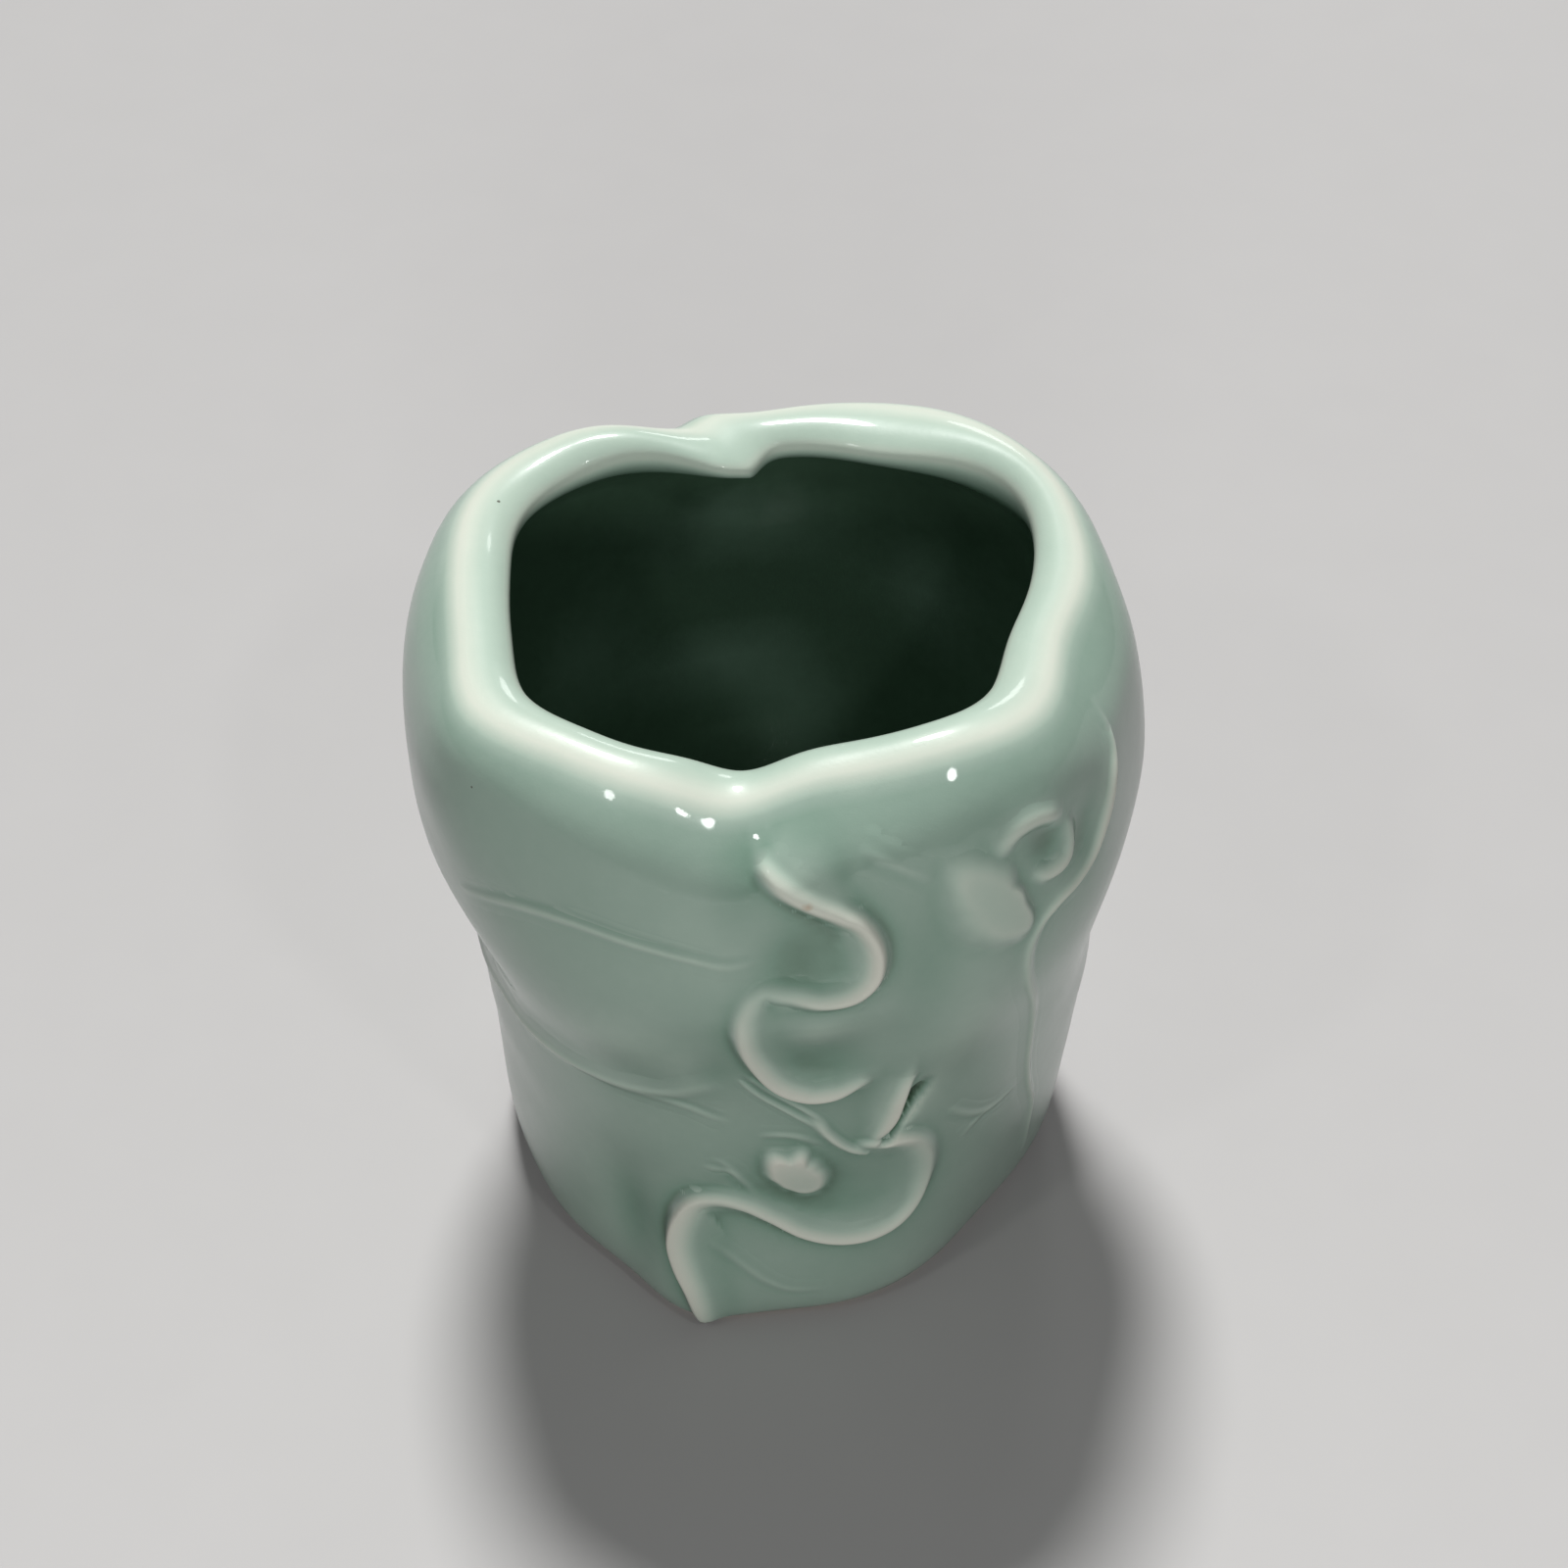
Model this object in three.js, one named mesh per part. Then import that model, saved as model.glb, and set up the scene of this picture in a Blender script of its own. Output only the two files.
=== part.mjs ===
import * as THREE from 'three';

// Lotus-leaf brush pot: a celadon-glazed pot whose wall is a furled lotus leaf with a rolled, wavy lip.
// Millimetres, +Z up, the front faces -Y. Angles are degrees round the pot: 0 at +X, 90 at the back.
// Heights are given as drawn for a pot of drawnHeight, and stretch with potHeight.

// Overall sizes
const potHeight = 118.6;       // table to the crest of the lip, before the lip's waves
const bellyRadius = 57.6;
const footRadius = 44.0;
const mouthRadius = 38.2;
const wallThickness = 6;

// How far the wall's other stations lie outside or inside the size they go with
const ankleOut = 2.9;
const hipOut = 5.6;
const waistIn = 4.7;
const lowBellyIn = 0.4;
const shoulderIn = 1.2;
const neckIn = 4;
const lipTurn = 2.8;           // from the mouth's edge to where the lip starts down into it
const lipRoll = 7;             // from the mouth's edge to the crest of the rolled lip
const lipEdge = 10.6;          // from the mouth's edge to the outer edge of the lip
const ankleRadius = footRadius + ankleOut;
const hipRadius = footRadius + hipOut;
const waistRadius = bellyRadius - waistIn;
const shoulderRadius = bellyRadius - shoulderIn;
const neckRadius = bellyRadius - neckIn;
const lipRadius = mouthRadius + lipRoll;

// Floor and foot
const floorThickness = 7.5;
const floorDish = 1.2;         // how far the floor sinks in the middle
const dishRings = [{ reach: 0.15, sunk: 1 }, { reach: 0.6, sunk: 0.6 }, { reach: 1, sunk: 0 }];
const footHeight = 1.2;
const footWidth = 7;
const footInset = 0.9;         // the unglazed foot stands this far inside the wall's edge
const footChamfer = 0.4;
const footTurn = { out: 1.6, high: 2.3 };  // the wall's foot turns out by so much over this height

// Relief
const seam = 0.3;              // clearance between two luted pieces
const featherEdge = 0.4;       // thickness of a luted piece at its edge
const reliefScale = 1.0;       // how proud the leaf margins stand, as a share of the drawn rise
const slopeStep = 0.5;         // the wall's slope is taken over so much to each side, in degrees and mm

const planRadius = 54;         // relief is drawn on the unrolled leaf, a sheet of this radius
const degree = Math.PI / 180;
const perDegree = planRadius * degree;   // width of a degree on that sheet

// The wall starts above the foot ring and stretches from there
const wallFoot = footHeight + seam;
const drawnHeight = 118.6;
const stretch = (potHeight - wallFoot) / (drawnHeight - wallFoot);
const raised = (drawn) => wallFoot + (drawn - wallFoot) * stretch;

// Colours, sRGB
const glaze = { color: 0xa9c3b3, roughness: 0.14, metalness: 0 };
const biscuit = { color: 0xd9c9b4, roughness: 0.85, metalness: 0 };

// Profile of the outer wall, from the foot's edge over the lip to the edge of the mouth.
// Each point is a radius, a drawn height and the number of rings up to the next point.
const profile = [
  { radius: footRadius, height: wallFoot, rings: 1 },
  { radius: footRadius + footTurn.out, height: wallFoot + footTurn.high, rings: 1 },
  { radius: ankleRadius, height: 10, rings: 3 },
  { radius: (ankleRadius + hipRadius) / 2, height: 24, rings: 3 },
  { radius: hipRadius, height: 38, rings: 5 },
  { radius: waistRadius, height: 60, rings: 5 },
  { radius: bellyRadius - lowBellyIn, height: 80, rings: 3 },
  { radius: bellyRadius, height: 92, rings: 3 },
  { radius: shoulderRadius, height: 104, rings: 2 },
  { radius: neckRadius, height: 112, rings: 3 },
  { radius: mouthRadius + lipEdge, height: 117, rings: 2 },
  { radius: lipRadius, height: 118.6, rings: 2 },
  { radius: mouthRadius + lipTurn, height: 117.2, rings: 2 },
  { radius: mouthRadius, height: 114.5, rings: 1 },
];
const lipLevel = 10;           // the profile point where the wall turns over into the lip
const mouthLevel = profile.length - 1;
const lipHeight = profile[lipLevel].height;
const underLip = { height: 102, rings: 4, bulge: 1.2 };
const innerHeights = [92, 80, 60, 38, 24, 12, wallFoot];

// Columns round the wall: close together on the carved front and at the pleat
const columnSpans = [
  { from: -150, to: -20, count: 50 },
  { from: -20, to: 84, count: 16 },
  { from: 84, to: 126, count: 14 },
  { from: 126, to: 210, count: 18 },
];

// Folds of the leaf. Each is a bell round an angle, and moves the wall in or out by so many
// millimetres at the foot, hip, waist, belly, shoulder, lip edge and mouth edge.
const stations = [0, 38, 60, 80, 108, 117];
const folds = [
  { at: 148, wide: 20, out: [0, 0, 0, 1, 3.3, 5.1, 5.2] },
  { at: 36, wide: 22, out: [0, 0.5, 0, -0.3, -1, 2.1, 5.8] },
  { at: -147, wide: 14, out: [0.7, -0.1, -0.5, 0, 2.1, 3.8, 3.3] },
  { at: -43, wide: 13, out: [-1.1, 0, 0.1, 0.3, 0.8, 0.9, 0.8] },
  { at: -82, wide: 24, out: [1.1, 0, -0.5, -1.2, -3, -5.2, -5.7] },
  { at: -15, wide: 16, out: [0, -0.4, -0.5, -1.4, -1.9, -4, -2.4] },
  { at: 100, wide: 22, out: [0, 0, 0, -0.4, -1.5, -3.2, -1.7] },
  { at: 180, wide: 34, out: [0.3, -1.2, -3.3, -1.1, 0.4, 0, 0.2] },
  { at: 4, wide: 26, out: [1.1, 1.8, -0.5, 0.4, -0.4, -0.4, -1] },
  { at: -106, wide: 13, out: [4.7, 0.8, 0, 0, 0, -0.3, -2.1] },
  { at: -78, wide: 20, out: [1.3, 0.6, 0, 0, 0, -0.2, -0.2] },
  { at: -30, wide: 16, out: [-1.3, -0.4, 0.2, 0.2, 0, 0, -1.3] },
  { at: -150, wide: 14, out: [-1, -0.5, -0.6, -0.7, 0.2, 0.1, -0.5] },
  { at: -165, wide: 20, out: [-1.1, -0.9, -0.8, 0, -0.4, 0, 0.4] },
  { at: 14, wide: 13, out: [0, 0, 0, 0.3, -0.9, -0.5, 0.4] },
  { at: 60, wide: 18, out: [0, 0, 0, 0, 0, 2, -1.9] },
];

// Waves of the rim: how far it rises or dips
const rimWaves = [
  { at: -98, wide: 11, rise: -3.3 },
  { at: -52, wide: 20, rise: 3.2 },
  { at: -135, wide: 18, rise: 0.7 },
  { at: 150, wide: 20, rise: -2.2 },
  { at: 75, wide: 26, rise: -2 },
  { at: 118, wide: 18, rise: -0.8 },
  { at: 96, wide: 12, rise: -1.4 },
  { at: 54, wide: 14, rise: 0.4 },
  { at: 126, wide: 10, rise: 1 },
];
const rimWaveFoot = 70;        // drawn height where the waves begin
const rimWaveFull = 115;

// Pleat at the back, where one leaf margin is tucked in front of the other. It crosses the lip
// slantwise, and it is steep on its right and slow on its left.
const pleat = { lipAt: 111, mouthAt: 99, slow: 15, fast: 4, lipIn: -1.8, mouthIn: -6, drop: -1.6 };

// Hollows and swells pressed into the outside of the wall: place, half sizes in degrees and
// millimetres, and rise, which is negative for a hollow.
const swells = [
  { at: -84.5, high: 94, wide: 6, tall: 6.5, rise: -1.4 },
  { at: -84, high: 73, wide: 7, tall: 6.5, rise: -1.1 },
  { at: -80, high: 33, wide: 14, tall: 9, rise: -1.2 },
  { at: -95, high: 112, wide: 4, tall: 9, rise: -0.8 },
  { at: -67, high: 86, wide: 7, tall: 13, rise: -0.9 },
  { at: -49, high: 101, wide: 5, tall: 5, rise: -0.9 },
  { at: -119, high: 22, wide: 5, tall: 13, rise: -0.9 },
  { at: -118, high: 72, wide: 14, tall: 8, rise: 0.7 },
  { at: -60, high: 70, wide: 10, tall: 10, rise: 0.7 },
];

// Leaf margins luted to the wall. Each point is an angle, a drawn height, the margin's width
// there and how proud its crest stands. lean moves the crest to one side of the strip.
const margins = {
  wavy_leaf_margin: {
    lean: 0.15,
    points: [
      [-94.0, 112.6, 2.0, 0.5],
      [-91.0, 109.8, 3.6, 1.3],
      [-87.2, 105.7, 4.6, 2.0],
      [-82.6, 102.2, 5.0, 2.3],
      [-77.6, 99.4, 5.2, 2.4],
      [-74.6, 94.6, 5.2, 2.4],
      [-74.6, 89.2, 5.0, 2.2],
      [-78.4, 85.6, 4.6, 2.0],
      [-83.7, 85.0, 4.2, 1.6],
      [-88.6, 86.6, 3.8, 1.2],
      [-92.8, 85.8, 3.8, 1.2],
      [-95.0, 80.4, 4.2, 1.6],
      [-94.6, 73.6, 4.8, 2.1],
      [-91.6, 66.2, 5.0, 2.2],
      [-87.0, 61.4, 4.6, 2.1],
      [-82.0, 59.8, 4.2, 1.7],
      [-77.0, 60.6, 2.4, 0.6],
    ],
  },
  left_leaf_margin: {
    lean: -0.55,
    points: [
      [-158, 52.0, 4.0, 0.5],
      [-150, 52.2, 5.4, 1.0],
      [-141, 53.4, 6.2, 1.3],
      [-132, 55.6, 6.4, 1.4],
      [-123, 57.0, 6.2, 1.2],
      [-114, 58.6, 5.4, 1.0],
      [-107, 61.0, 4.2, 0.8],
      [-101, 63.6, 2.4, 0.4],
    ],
  },
  back_leaf_margin: {
    lean: -0.45,
    points: [
      [112.4, 111.0, 2.0, 0.4],
      [114.0, 105.0, 4.2, 1.0],
      [117.0, 96.0, 5.4, 1.3],
      [122.6, 86.0, 6.0, 1.4],
      [130.6, 76.0, 6.2, 1.4],
      [141.0, 67.6, 6.2, 1.3],
      [154.0, 60.6, 6.0, 1.2],
      [168.0, 55.6, 5.4, 1.1],
      [182.0, 53.0, 4.6, 0.9],
      [196.0, 52.0, 3.4, 0.6],
    ],
  },
  furled_leaf_tip: {
    lean: 0.45,
    points: [
      [-72.4, 58.4, 2.6, 0.5],
      [-71.4, 56.6, 5.6, 1.8],
      [-71.2, 53.8, 5.4, 2.5],
      [-71.4, 51.0, 4.2, 2.2],
      [-71.9, 48.6, 2.6, 1.2],
      [-72.2, 47.0, 1.2, 0.4],
    ],
  },
  lower_leaf_margin: {
    lean: 0.35,
    points: [
      [-74.0, 44.8, 1.6, 0.4],
      [-70.4, 44.4, 3.2, 1.0],
      [-65.6, 42.8, 4.4, 1.5],
      [-62.2, 38.4, 5.0, 1.8],
      [-61.0, 32.4, 5.2, 2.0],
      [-62.2, 26.6, 5.2, 2.1],
      [-66.0, 22.8, 5.2, 2.2],
      [-71.6, 21.2, 5.2, 2.3],
      [-78.0, 21.8, 5.2, 2.3],
      [-84.6, 24.2, 5.0, 2.2],
      [-91.0, 28.2, 4.4, 1.9],
      [-96.4, 31.0, 3.0, 1.0],
    ],
  },
  base_leaf_fold: {
    lean: -0.3,
    points: [
      [-99.6, 31.4, 2.6, 0.8],
      [-104.0, 30.8, 5.0, 1.8],
      [-108.4, 26.8, 6.6, 2.4],
      [-110.2, 20.6, 7.4, 2.6],
      [-109.6, 14.8, 7.2, 2.3],
      [-107.6, 9.4, 6.0, 1.5],
      [-106.2, 5.6, 4.0, 0.6],
    ],
  },
  leaf_stem: {
    lean: 0,
    points: [
      [-94.4, 63.4, 1.3, 0.5],
      [-91.6, 60.2, 1.9, 0.8],
      [-87.4, 57.2, 2.0, 0.9],
      [-83.4, 53.4, 1.9, 0.9],
      [-80.8, 49.6, 1.9, 0.9],
      [-78.4, 46.4, 1.9, 0.8],
      [-76.2, 44.6, 1.3, 0.5],
    ],
  },
  right_margin_upper: {
    lean: 0.3,
    points: [
      [-21.6, 105.6, 1.8, 0.4],
      [-25.4, 101.0, 4.4, 1.5],
      [-30.6, 95.6, 5.4, 2.0],
      [-36.6, 91.6, 4.8, 1.8],
      [-42.8, 90.0, 3.8, 1.3],
      [-47.2, 87.4, 2.4, 0.6],
    ],
  },
  right_margin_lower: {
    lean: 0.1,
    points: [
      [-49.0, 83.6, 1.8, 0.4],
      [-48.0, 76.4, 3.2, 1.0],
      [-44.2, 67.4, 3.4, 1.1],
      [-40.2, 56.0, 3.4, 1.1],
      [-37.2, 44.8, 3.4, 1.1],
      [-33.2, 34.2, 3.4, 1.0],
      [-28.6, 24.6, 3.0, 0.9],
      [-25.0, 14.0, 1.8, 0.4],
    ],
  },
  side_curl: {
    lean: -0.2,
    points: [
      [-54.6, 105.0, 1.4, 0.4],
      [-52.4, 107.0, 2.4, 0.9],
      [-49.4, 108.0, 3.2, 1.2],
      [-46.0, 107.8, 3.0, 1.1],
      [-43.0, 106.4, 1.6, 0.5],
    ],
  },
  side_bud: {
    lean: 0.1,
    points: [
      [-41.6, 103.6, 1.6, 0.4],
      [-40.4, 100.8, 3.0, 1.2],
      [-41.0, 97.4, 3.4, 1.5],
      [-44.2, 95.6, 3.4, 1.5],
      [-47.4, 96.2, 2.8, 1.0],
      [-49.6, 98.4, 1.4, 0.4],
    ],
  },
};
const marginSteps = 1.6;       // sections of a margin for each of its drawn points
const marginColumns = 5;       // points across a margin's crest

// Small pads luted to the wall: place, half sizes in millimetres, turn of the long axis in degrees,
// rise, how flat the top is, and the number and depth of the lobes of the outline.
const pads = {
  leaf_navel: {
    at: -86.4, high: 40.4, wide: 3.8, tall: 7.0, turn: 34, rise: 2.0, flat: 0.25, lobes: 5, depth: 0.12,
  },
  side_petal: {
    at: -56.2, high: 96.6, wide: 4.9, tall: 8.8, turn: 32, rise: 1.3, flat: 0.6, lobes: 4, depth: 0.08,
  },
};
const padSpokes = 18;
const padRings = [1, 0.8, 0.5, 0.15];

const wallCurve = new THREE.SplineCurve(profile.map((p) => new THREE.Vector2(p.radius, p.height)));

const clamp01 = (t) => Math.min(1, Math.max(0, t));
const smooth = (t) => clamp01(t) ** 2 * (3 - 2 * clamp01(t));
const bell = (x) => Math.exp(-x * x);
const turned = (angle) => THREE.MathUtils.euclideanModulo(angle + 180, 360) - 180;
const lopsided = (x, slow, fast) => bell(x > 0 ? x / slow : x / fast);

// A value given at each station, taken at a height between them
function between(values, height) {
  let value = values[0];
  for (let i = 1; i < stations.length; i += 1) {
    const part = smooth((height - stations[i - 1]) / (stations[i] - stations[i - 1]));
    value += (values[i] - values[i - 1]) * part;
  }
  return value;
}

// Radius and height of the wall's outside. A level counts profile points, from 0 at the foot.
function wallAt(angle, level) {
  const { x: radius, y: height } = wallCurve.getPoint(level / mouthLevel);
  const overLip = clamp01((level - lipLevel) / (mouthLevel - lipLevel));
  const wave = smooth((height - rimWaveFoot) / (rimWaveFull - rimWaveFoot));
  let out = 0;
  let rise = 0;
  for (const fold of folds) {
    const edge = fold.out[stations.length - 1];
    const amount = overLip > 0
      ? edge + (fold.out[stations.length] - edge) * overLip
      : between(fold.out, Math.min(height, lipHeight));
    out += amount * bell(turned(angle - fold.at) / fold.wide);
  }
  for (const crest of rimWaves) rise += crest.rise * bell(turned(angle - crest.at) / crest.wide);

  const pleatAt = THREE.MathUtils.lerp(pleat.lipAt, pleat.mouthAt, overLip);
  const tuck = lopsided(turned(angle - pleatAt), pleat.slow, pleat.fast);
  out += tuck * wave * THREE.MathUtils.lerp(pleat.lipIn, pleat.mouthIn, overLip);
  rise += tuck * pleat.drop * (1 - overLip);
  return { radius: radius + out, height: raised(height + rise * wave) };
}

// The level at which the outer wall reaches a drawn height
function levelOf(height) {
  let low = 0;
  let high = lipLevel;
  for (let i = 0; i < 30; i += 1) {
    const middle = (low + high) / 2;
    if (wallCurve.getPoint(middle / mouthLevel).y < height) low = middle;
    else high = middle;
  }
  return low;
}

function swellAt(angle, height) {
  let out = 0;
  for (const { at, high, wide, tall, rise } of swells) {
    out += rise * bell(turned(angle - at) / wide) * bell((height - high) / tall);
  }
  return out;
}

const polar = (radius, angle, height) =>
  new THREE.Vector3(radius * Math.cos(angle * degree), radius * Math.sin(angle * degree), height);

function outside(angle, height) {
  const { radius, height: top } = wallAt(angle, levelOf(height));
  return polar(radius + swellAt(angle, height), angle, top);
}

function insideRadius(angle, height) {
  return wallAt(angle, levelOf(height)).radius - wallThickness;
}

// Angles of the wall's columns
const columns = columnSpans.flatMap(({ from, to, count }) =>
  Array.from({ length: count }, (_, i) => THREE.MathUtils.lerp(from, to, i / count)));
const round = (place) => columns.map(place);

// Rings of the wall's outside and lip, each with its drawn height
const outerRings = profile.flatMap(({ rings }, level) => Array.from({ length: rings }, (_, i) => {
  const here = level + i / rings;
  const drawn = wallCurve.getPoint(here / mouthLevel).y;
  const points = round((angle) => {
    const { radius, height } = wallAt(angle, here);
    return polar(radius + (here < lipLevel ? swellAt(angle, drawn) : 0), angle, height);
  });
  return { drawn, points };
}));

// A point on the wall's facets as they are built
function onFacets(angle, height) {
  const first = columns[0];
  const swung = first + THREE.MathUtils.euclideanModulo(angle - first, 360);
  const right = columns.filter((column) => column <= swung).length - 1;
  const left = (right + 1) % columns.length;
  const width = (left ? columns[left] : first + 360) - columns[right];
  const above = outerRings.findIndex((ring) => ring.drawn > height);
  const [low, high] = [outerRings[above - 1], outerRings[above]];
  const along = (ring) => ring.points[right].clone().lerp(ring.points[left], (swung - columns[right]) / width);
  return along(low).lerp(along(high), (height - low.drawn) / (high.drawn - low.drawn));
}

// A point that stands off the outside of the wall, square to it. Where the wall is hollow its
// facets lie outside its true form, and the point clears them too.
function offWall(angle, height, distance) {
  const here = outside(angle, height);
  const right = outside(angle + slopeStep, height).sub(outside(angle - slopeStep, height));
  const up = outside(angle, height + slopeStep).sub(outside(angle, height - slopeStep));
  const square = right.cross(up).normalize();
  const proud = Math.max(0, onFacets(angle, height).sub(here).dot(square));
  return here.addScaledVector(square, proud + distance);
}

// A closed body through rings that all have as many points. With loop set, the last ring joins
// the first, and otherwise each end is closed by a fan.
function skin(rings, loop = false) {
  const count = rings[0].length;
  const points = rings.flat();
  const faces = [];
  const last = loop ? rings.length : rings.length - 1;
  for (let i = 0; i < last; i += 1) {
    const a = i * count;
    const b = ((i + 1) % rings.length) * count;
    for (let j = 0; j < count; j += 1) {
      const k = (j + 1) % count;
      faces.push(a + j, a + k, b + k, a + j, b + k, b + j);
    }
  }
  if (!loop) {
    for (const [ring, start, turn] of [[rings[0], 0, 1], [rings.at(-1), points.length - count, 0]]) {
      const hub = points.length;
      points.push(ring.reduce((sum, p) => sum.add(p), new THREE.Vector3()).divideScalar(count));
      for (let j = 0; j < count; j += 1) {
        const k = (j + 1) % count;
        faces.push(hub, start + (turn ? k : j), start + (turn ? j : k));
      }
    }
  }
  return facingOut(points, faces);
}

function facingOut(points, faces) {
  let volume = 0;
  const normal = new THREE.Vector3();
  for (let i = 0; i < faces.length; i += 3) {
    const [a, b, c] = [points[faces[i]], points[faces[i + 1]], points[faces[i + 2]]];
    volume += a.dot(normal.crossVectors(b, c));
  }
  const index = volume > 0 ? faces : faces.toReversed();
  const geometry = new THREE.BufferGeometry().setFromPoints(points);
  geometry.setIndex(index);
  geometry.computeVertexNormals();
  return geometry;
}

function bodyWall() {
  const rings = outerRings.map((ring) => ring.points);
  for (let i = 1; i <= underLip.rings; i += 1) {
    const part = i / underLip.rings;
    const bulge = underLip.bulge * Math.sin(part * Math.PI) * (1 - part);
    rings.push(round((angle) => {
      const mouth = wallAt(angle, mouthLevel);
      const inner = insideRadius(angle, underLip.height);
      const radius = THREE.MathUtils.lerp(mouth.radius, inner, smooth(part)) - bulge;
      return polar(radius, angle, THREE.MathUtils.lerp(mouth.height, raised(underLip.height), part));
    }));
  }
  for (const height of innerHeights) {
    rings.push(round((angle) => polar(insideRadius(angle, height), angle, raised(height))));
  }
  return skin(rings, true);
}

// Floor slab, luted inside the wall and resting on the foot ring
function floorDisc() {
  const top = wallFoot + floorThickness;
  const ring = (share, height) =>
    round((angle) => polar((insideRadius(angle, wallFoot) - seam) * share, angle, height));
  return skin([...dishRings.map(({ reach, sunk }) => ring(reach, top - floorDish * sunk)), ring(1, wallFoot)]);
}

// Unglazed foot ring under the wall's edge
function footRing() {
  const ring = (inset, height) =>
    round((angle) => polar(wallAt(angle, 0).radius - footInset - inset, angle, height));
  return skin([
    ring(footChamfer, 0),
    ring(0, footChamfer),
    ring(0, footHeight),
    ring(footWidth, footHeight),
    ring(footWidth, footChamfer),
    ring(footWidth - footChamfer, 0),
  ], true);
}

// Domed section of a margin: 0 at both edges, 1 at a crest that leans to one side
function crestAt(across, lean) {
  const side = across < lean ? (across - lean) / (1 + lean) : (across - lean) / (1 - lean);
  return (1 - side * side) ** 2;
}

function leafMargin({ points, lean }) {
  const route = new THREE.CatmullRomCurve3(points.map(([angle, height]) => new THREE.Vector3(angle, height)));
  const sizes = new THREE.SplineCurve(points.map(([, , width, rise]) => new THREE.Vector2(width, rise)));
  const steps = Math.round((points.length - 1) * marginSteps);
  const rings = [];
  for (let i = 0; i <= steps; i += 1) {
    const at = route.getPoint(i / steps);
    const { x: width, y: rise } = sizes.getPoint(i / steps);
    const ahead = route.getTangent(i / steps);
    const length = Math.hypot(ahead.x * perDegree, ahead.y);
    const side = { angle: -ahead.y / length / perDegree, height: (ahead.x * perDegree) / length };
    const section = (across, distance) => offWall(
      at.x + (side.angle * across * width) / 2,
      at.y + (side.height * across * width) / 2,
      distance,
    );
    const crest = [];
    const back = [];
    for (let j = 0; j < marginColumns; j += 1) {
      const across = (2 * j) / (marginColumns - 1) - 1;
      crest.push(section(across, seam + featherEdge + reliefScale * rise * crestAt(across, lean)));
      back.unshift(section(across, seam));
    }
    rings.push([...crest, ...back]);
  }
  return skin(rings);
}

function leafPad({ at, high, wide, tall, turn, rise, flat, lobes, depth }) {
  const spread = (share, distanceAt) => Array.from({ length: padSpokes }, (_, i) => {
    const spoke = (i / padSpokes) * 2 * Math.PI;
    const reach = share * (1 + depth * Math.cos(lobes * spoke));
    const flatPad = new THREE.Vector2(wide * Math.cos(spoke), tall * Math.sin(spoke)).multiplyScalar(reach);
    flatPad.rotateAround(new THREE.Vector2(), turn * degree);
    return offWall(at + flatPad.x / perDegree, high + flatPad.y, distanceAt);
  });
  const domed = (share) => rise * Math.min(1, (1 - share * share) / (1 - flat * flat));
  const top = padRings.map((share) => spread(share, seam + featherEdge + reliefScale * domed(share)));
  const under = padRings.toReversed().map((share) => spread(share, seam));
  return skin([...under, ...top]);
}

const pot = new THREE.Group();

function addPiece(name, geometry, look) {
  const mesh = new THREE.Mesh(geometry, new THREE.MeshStandardMaterial(look));
  mesh.name = name;
  pot.add(mesh);
}

addPiece('body_wall', bodyWall(), glaze);
addPiece('floor_disc', floorDisc(), glaze);
addPiece('foot_ring', footRing(), biscuit);
for (const [name, margin] of Object.entries(margins)) addPiece(name, leafMargin(margin), glaze);
for (const [name, pad] of Object.entries(pads)) addPiece(name, leafPad(pad), glaze);

// The origin is at the middle of the pot's footprint, on the table
const box = new THREE.Box3().setFromObject(pot);
const middle = box.getCenter(new THREE.Vector3());
pot.position.set(-middle.x, -middle.y, -box.min.z);

export default pot;
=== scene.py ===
import math

import bpy
import numpy as np
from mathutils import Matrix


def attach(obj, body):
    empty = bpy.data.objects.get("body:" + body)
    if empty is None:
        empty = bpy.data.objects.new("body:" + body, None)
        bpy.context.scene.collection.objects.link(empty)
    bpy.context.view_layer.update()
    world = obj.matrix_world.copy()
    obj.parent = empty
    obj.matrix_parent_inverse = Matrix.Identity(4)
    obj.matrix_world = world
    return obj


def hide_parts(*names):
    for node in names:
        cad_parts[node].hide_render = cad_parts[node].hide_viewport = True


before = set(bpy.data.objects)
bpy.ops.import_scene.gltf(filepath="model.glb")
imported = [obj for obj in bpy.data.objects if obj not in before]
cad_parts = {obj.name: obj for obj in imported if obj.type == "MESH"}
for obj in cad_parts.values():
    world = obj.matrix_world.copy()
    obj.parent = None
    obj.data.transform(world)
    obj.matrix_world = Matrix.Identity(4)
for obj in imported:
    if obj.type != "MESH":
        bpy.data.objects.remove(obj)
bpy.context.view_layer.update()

# The pot is drawn in millimetres and degrees round its own axis, with 90 at the back and -90 at the
# front. Heights are drawn heights, before the rim's waves lift or lower them.
millimetre = 0.001

wall = {
    "axis": (-0.1170, 0.5884),   # where the pot's axis stands in the frame
    "foot": 1.5,                 # the wall starts here, on the foot ring
    "thickness": 6.0,
    "profile": [
        (44, 1.5), (45.6, 3.8), (46.9, 10), (48.25, 24), (49.6, 38), (52.9, 60), (57.2, 80), (57.6, 92),
        (56.4, 104), (53.6, 112), (48.8, 117), (45, 118.6), (41.3, 118.2), (38.4, 116.1)],
    "lipLevel": 10,              # the profile point where the wall turns over into the lip
    "underLip": 102,             # the underside of the lip meets the inner wall here
    "bulge": 1.2,
    "planRadius": 54,            # relief is drawn on the unrolled leaf, a sheet of this radius
    "plainestAt": 20, "levelSteps": 2001, "sectionSteps": 3001,
    "slopeReach": 0.4,           # the wall's slope is read over this many degrees and millimetres
}

lipHeight = wall["profile"][wall["lipLevel"]][1]

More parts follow.
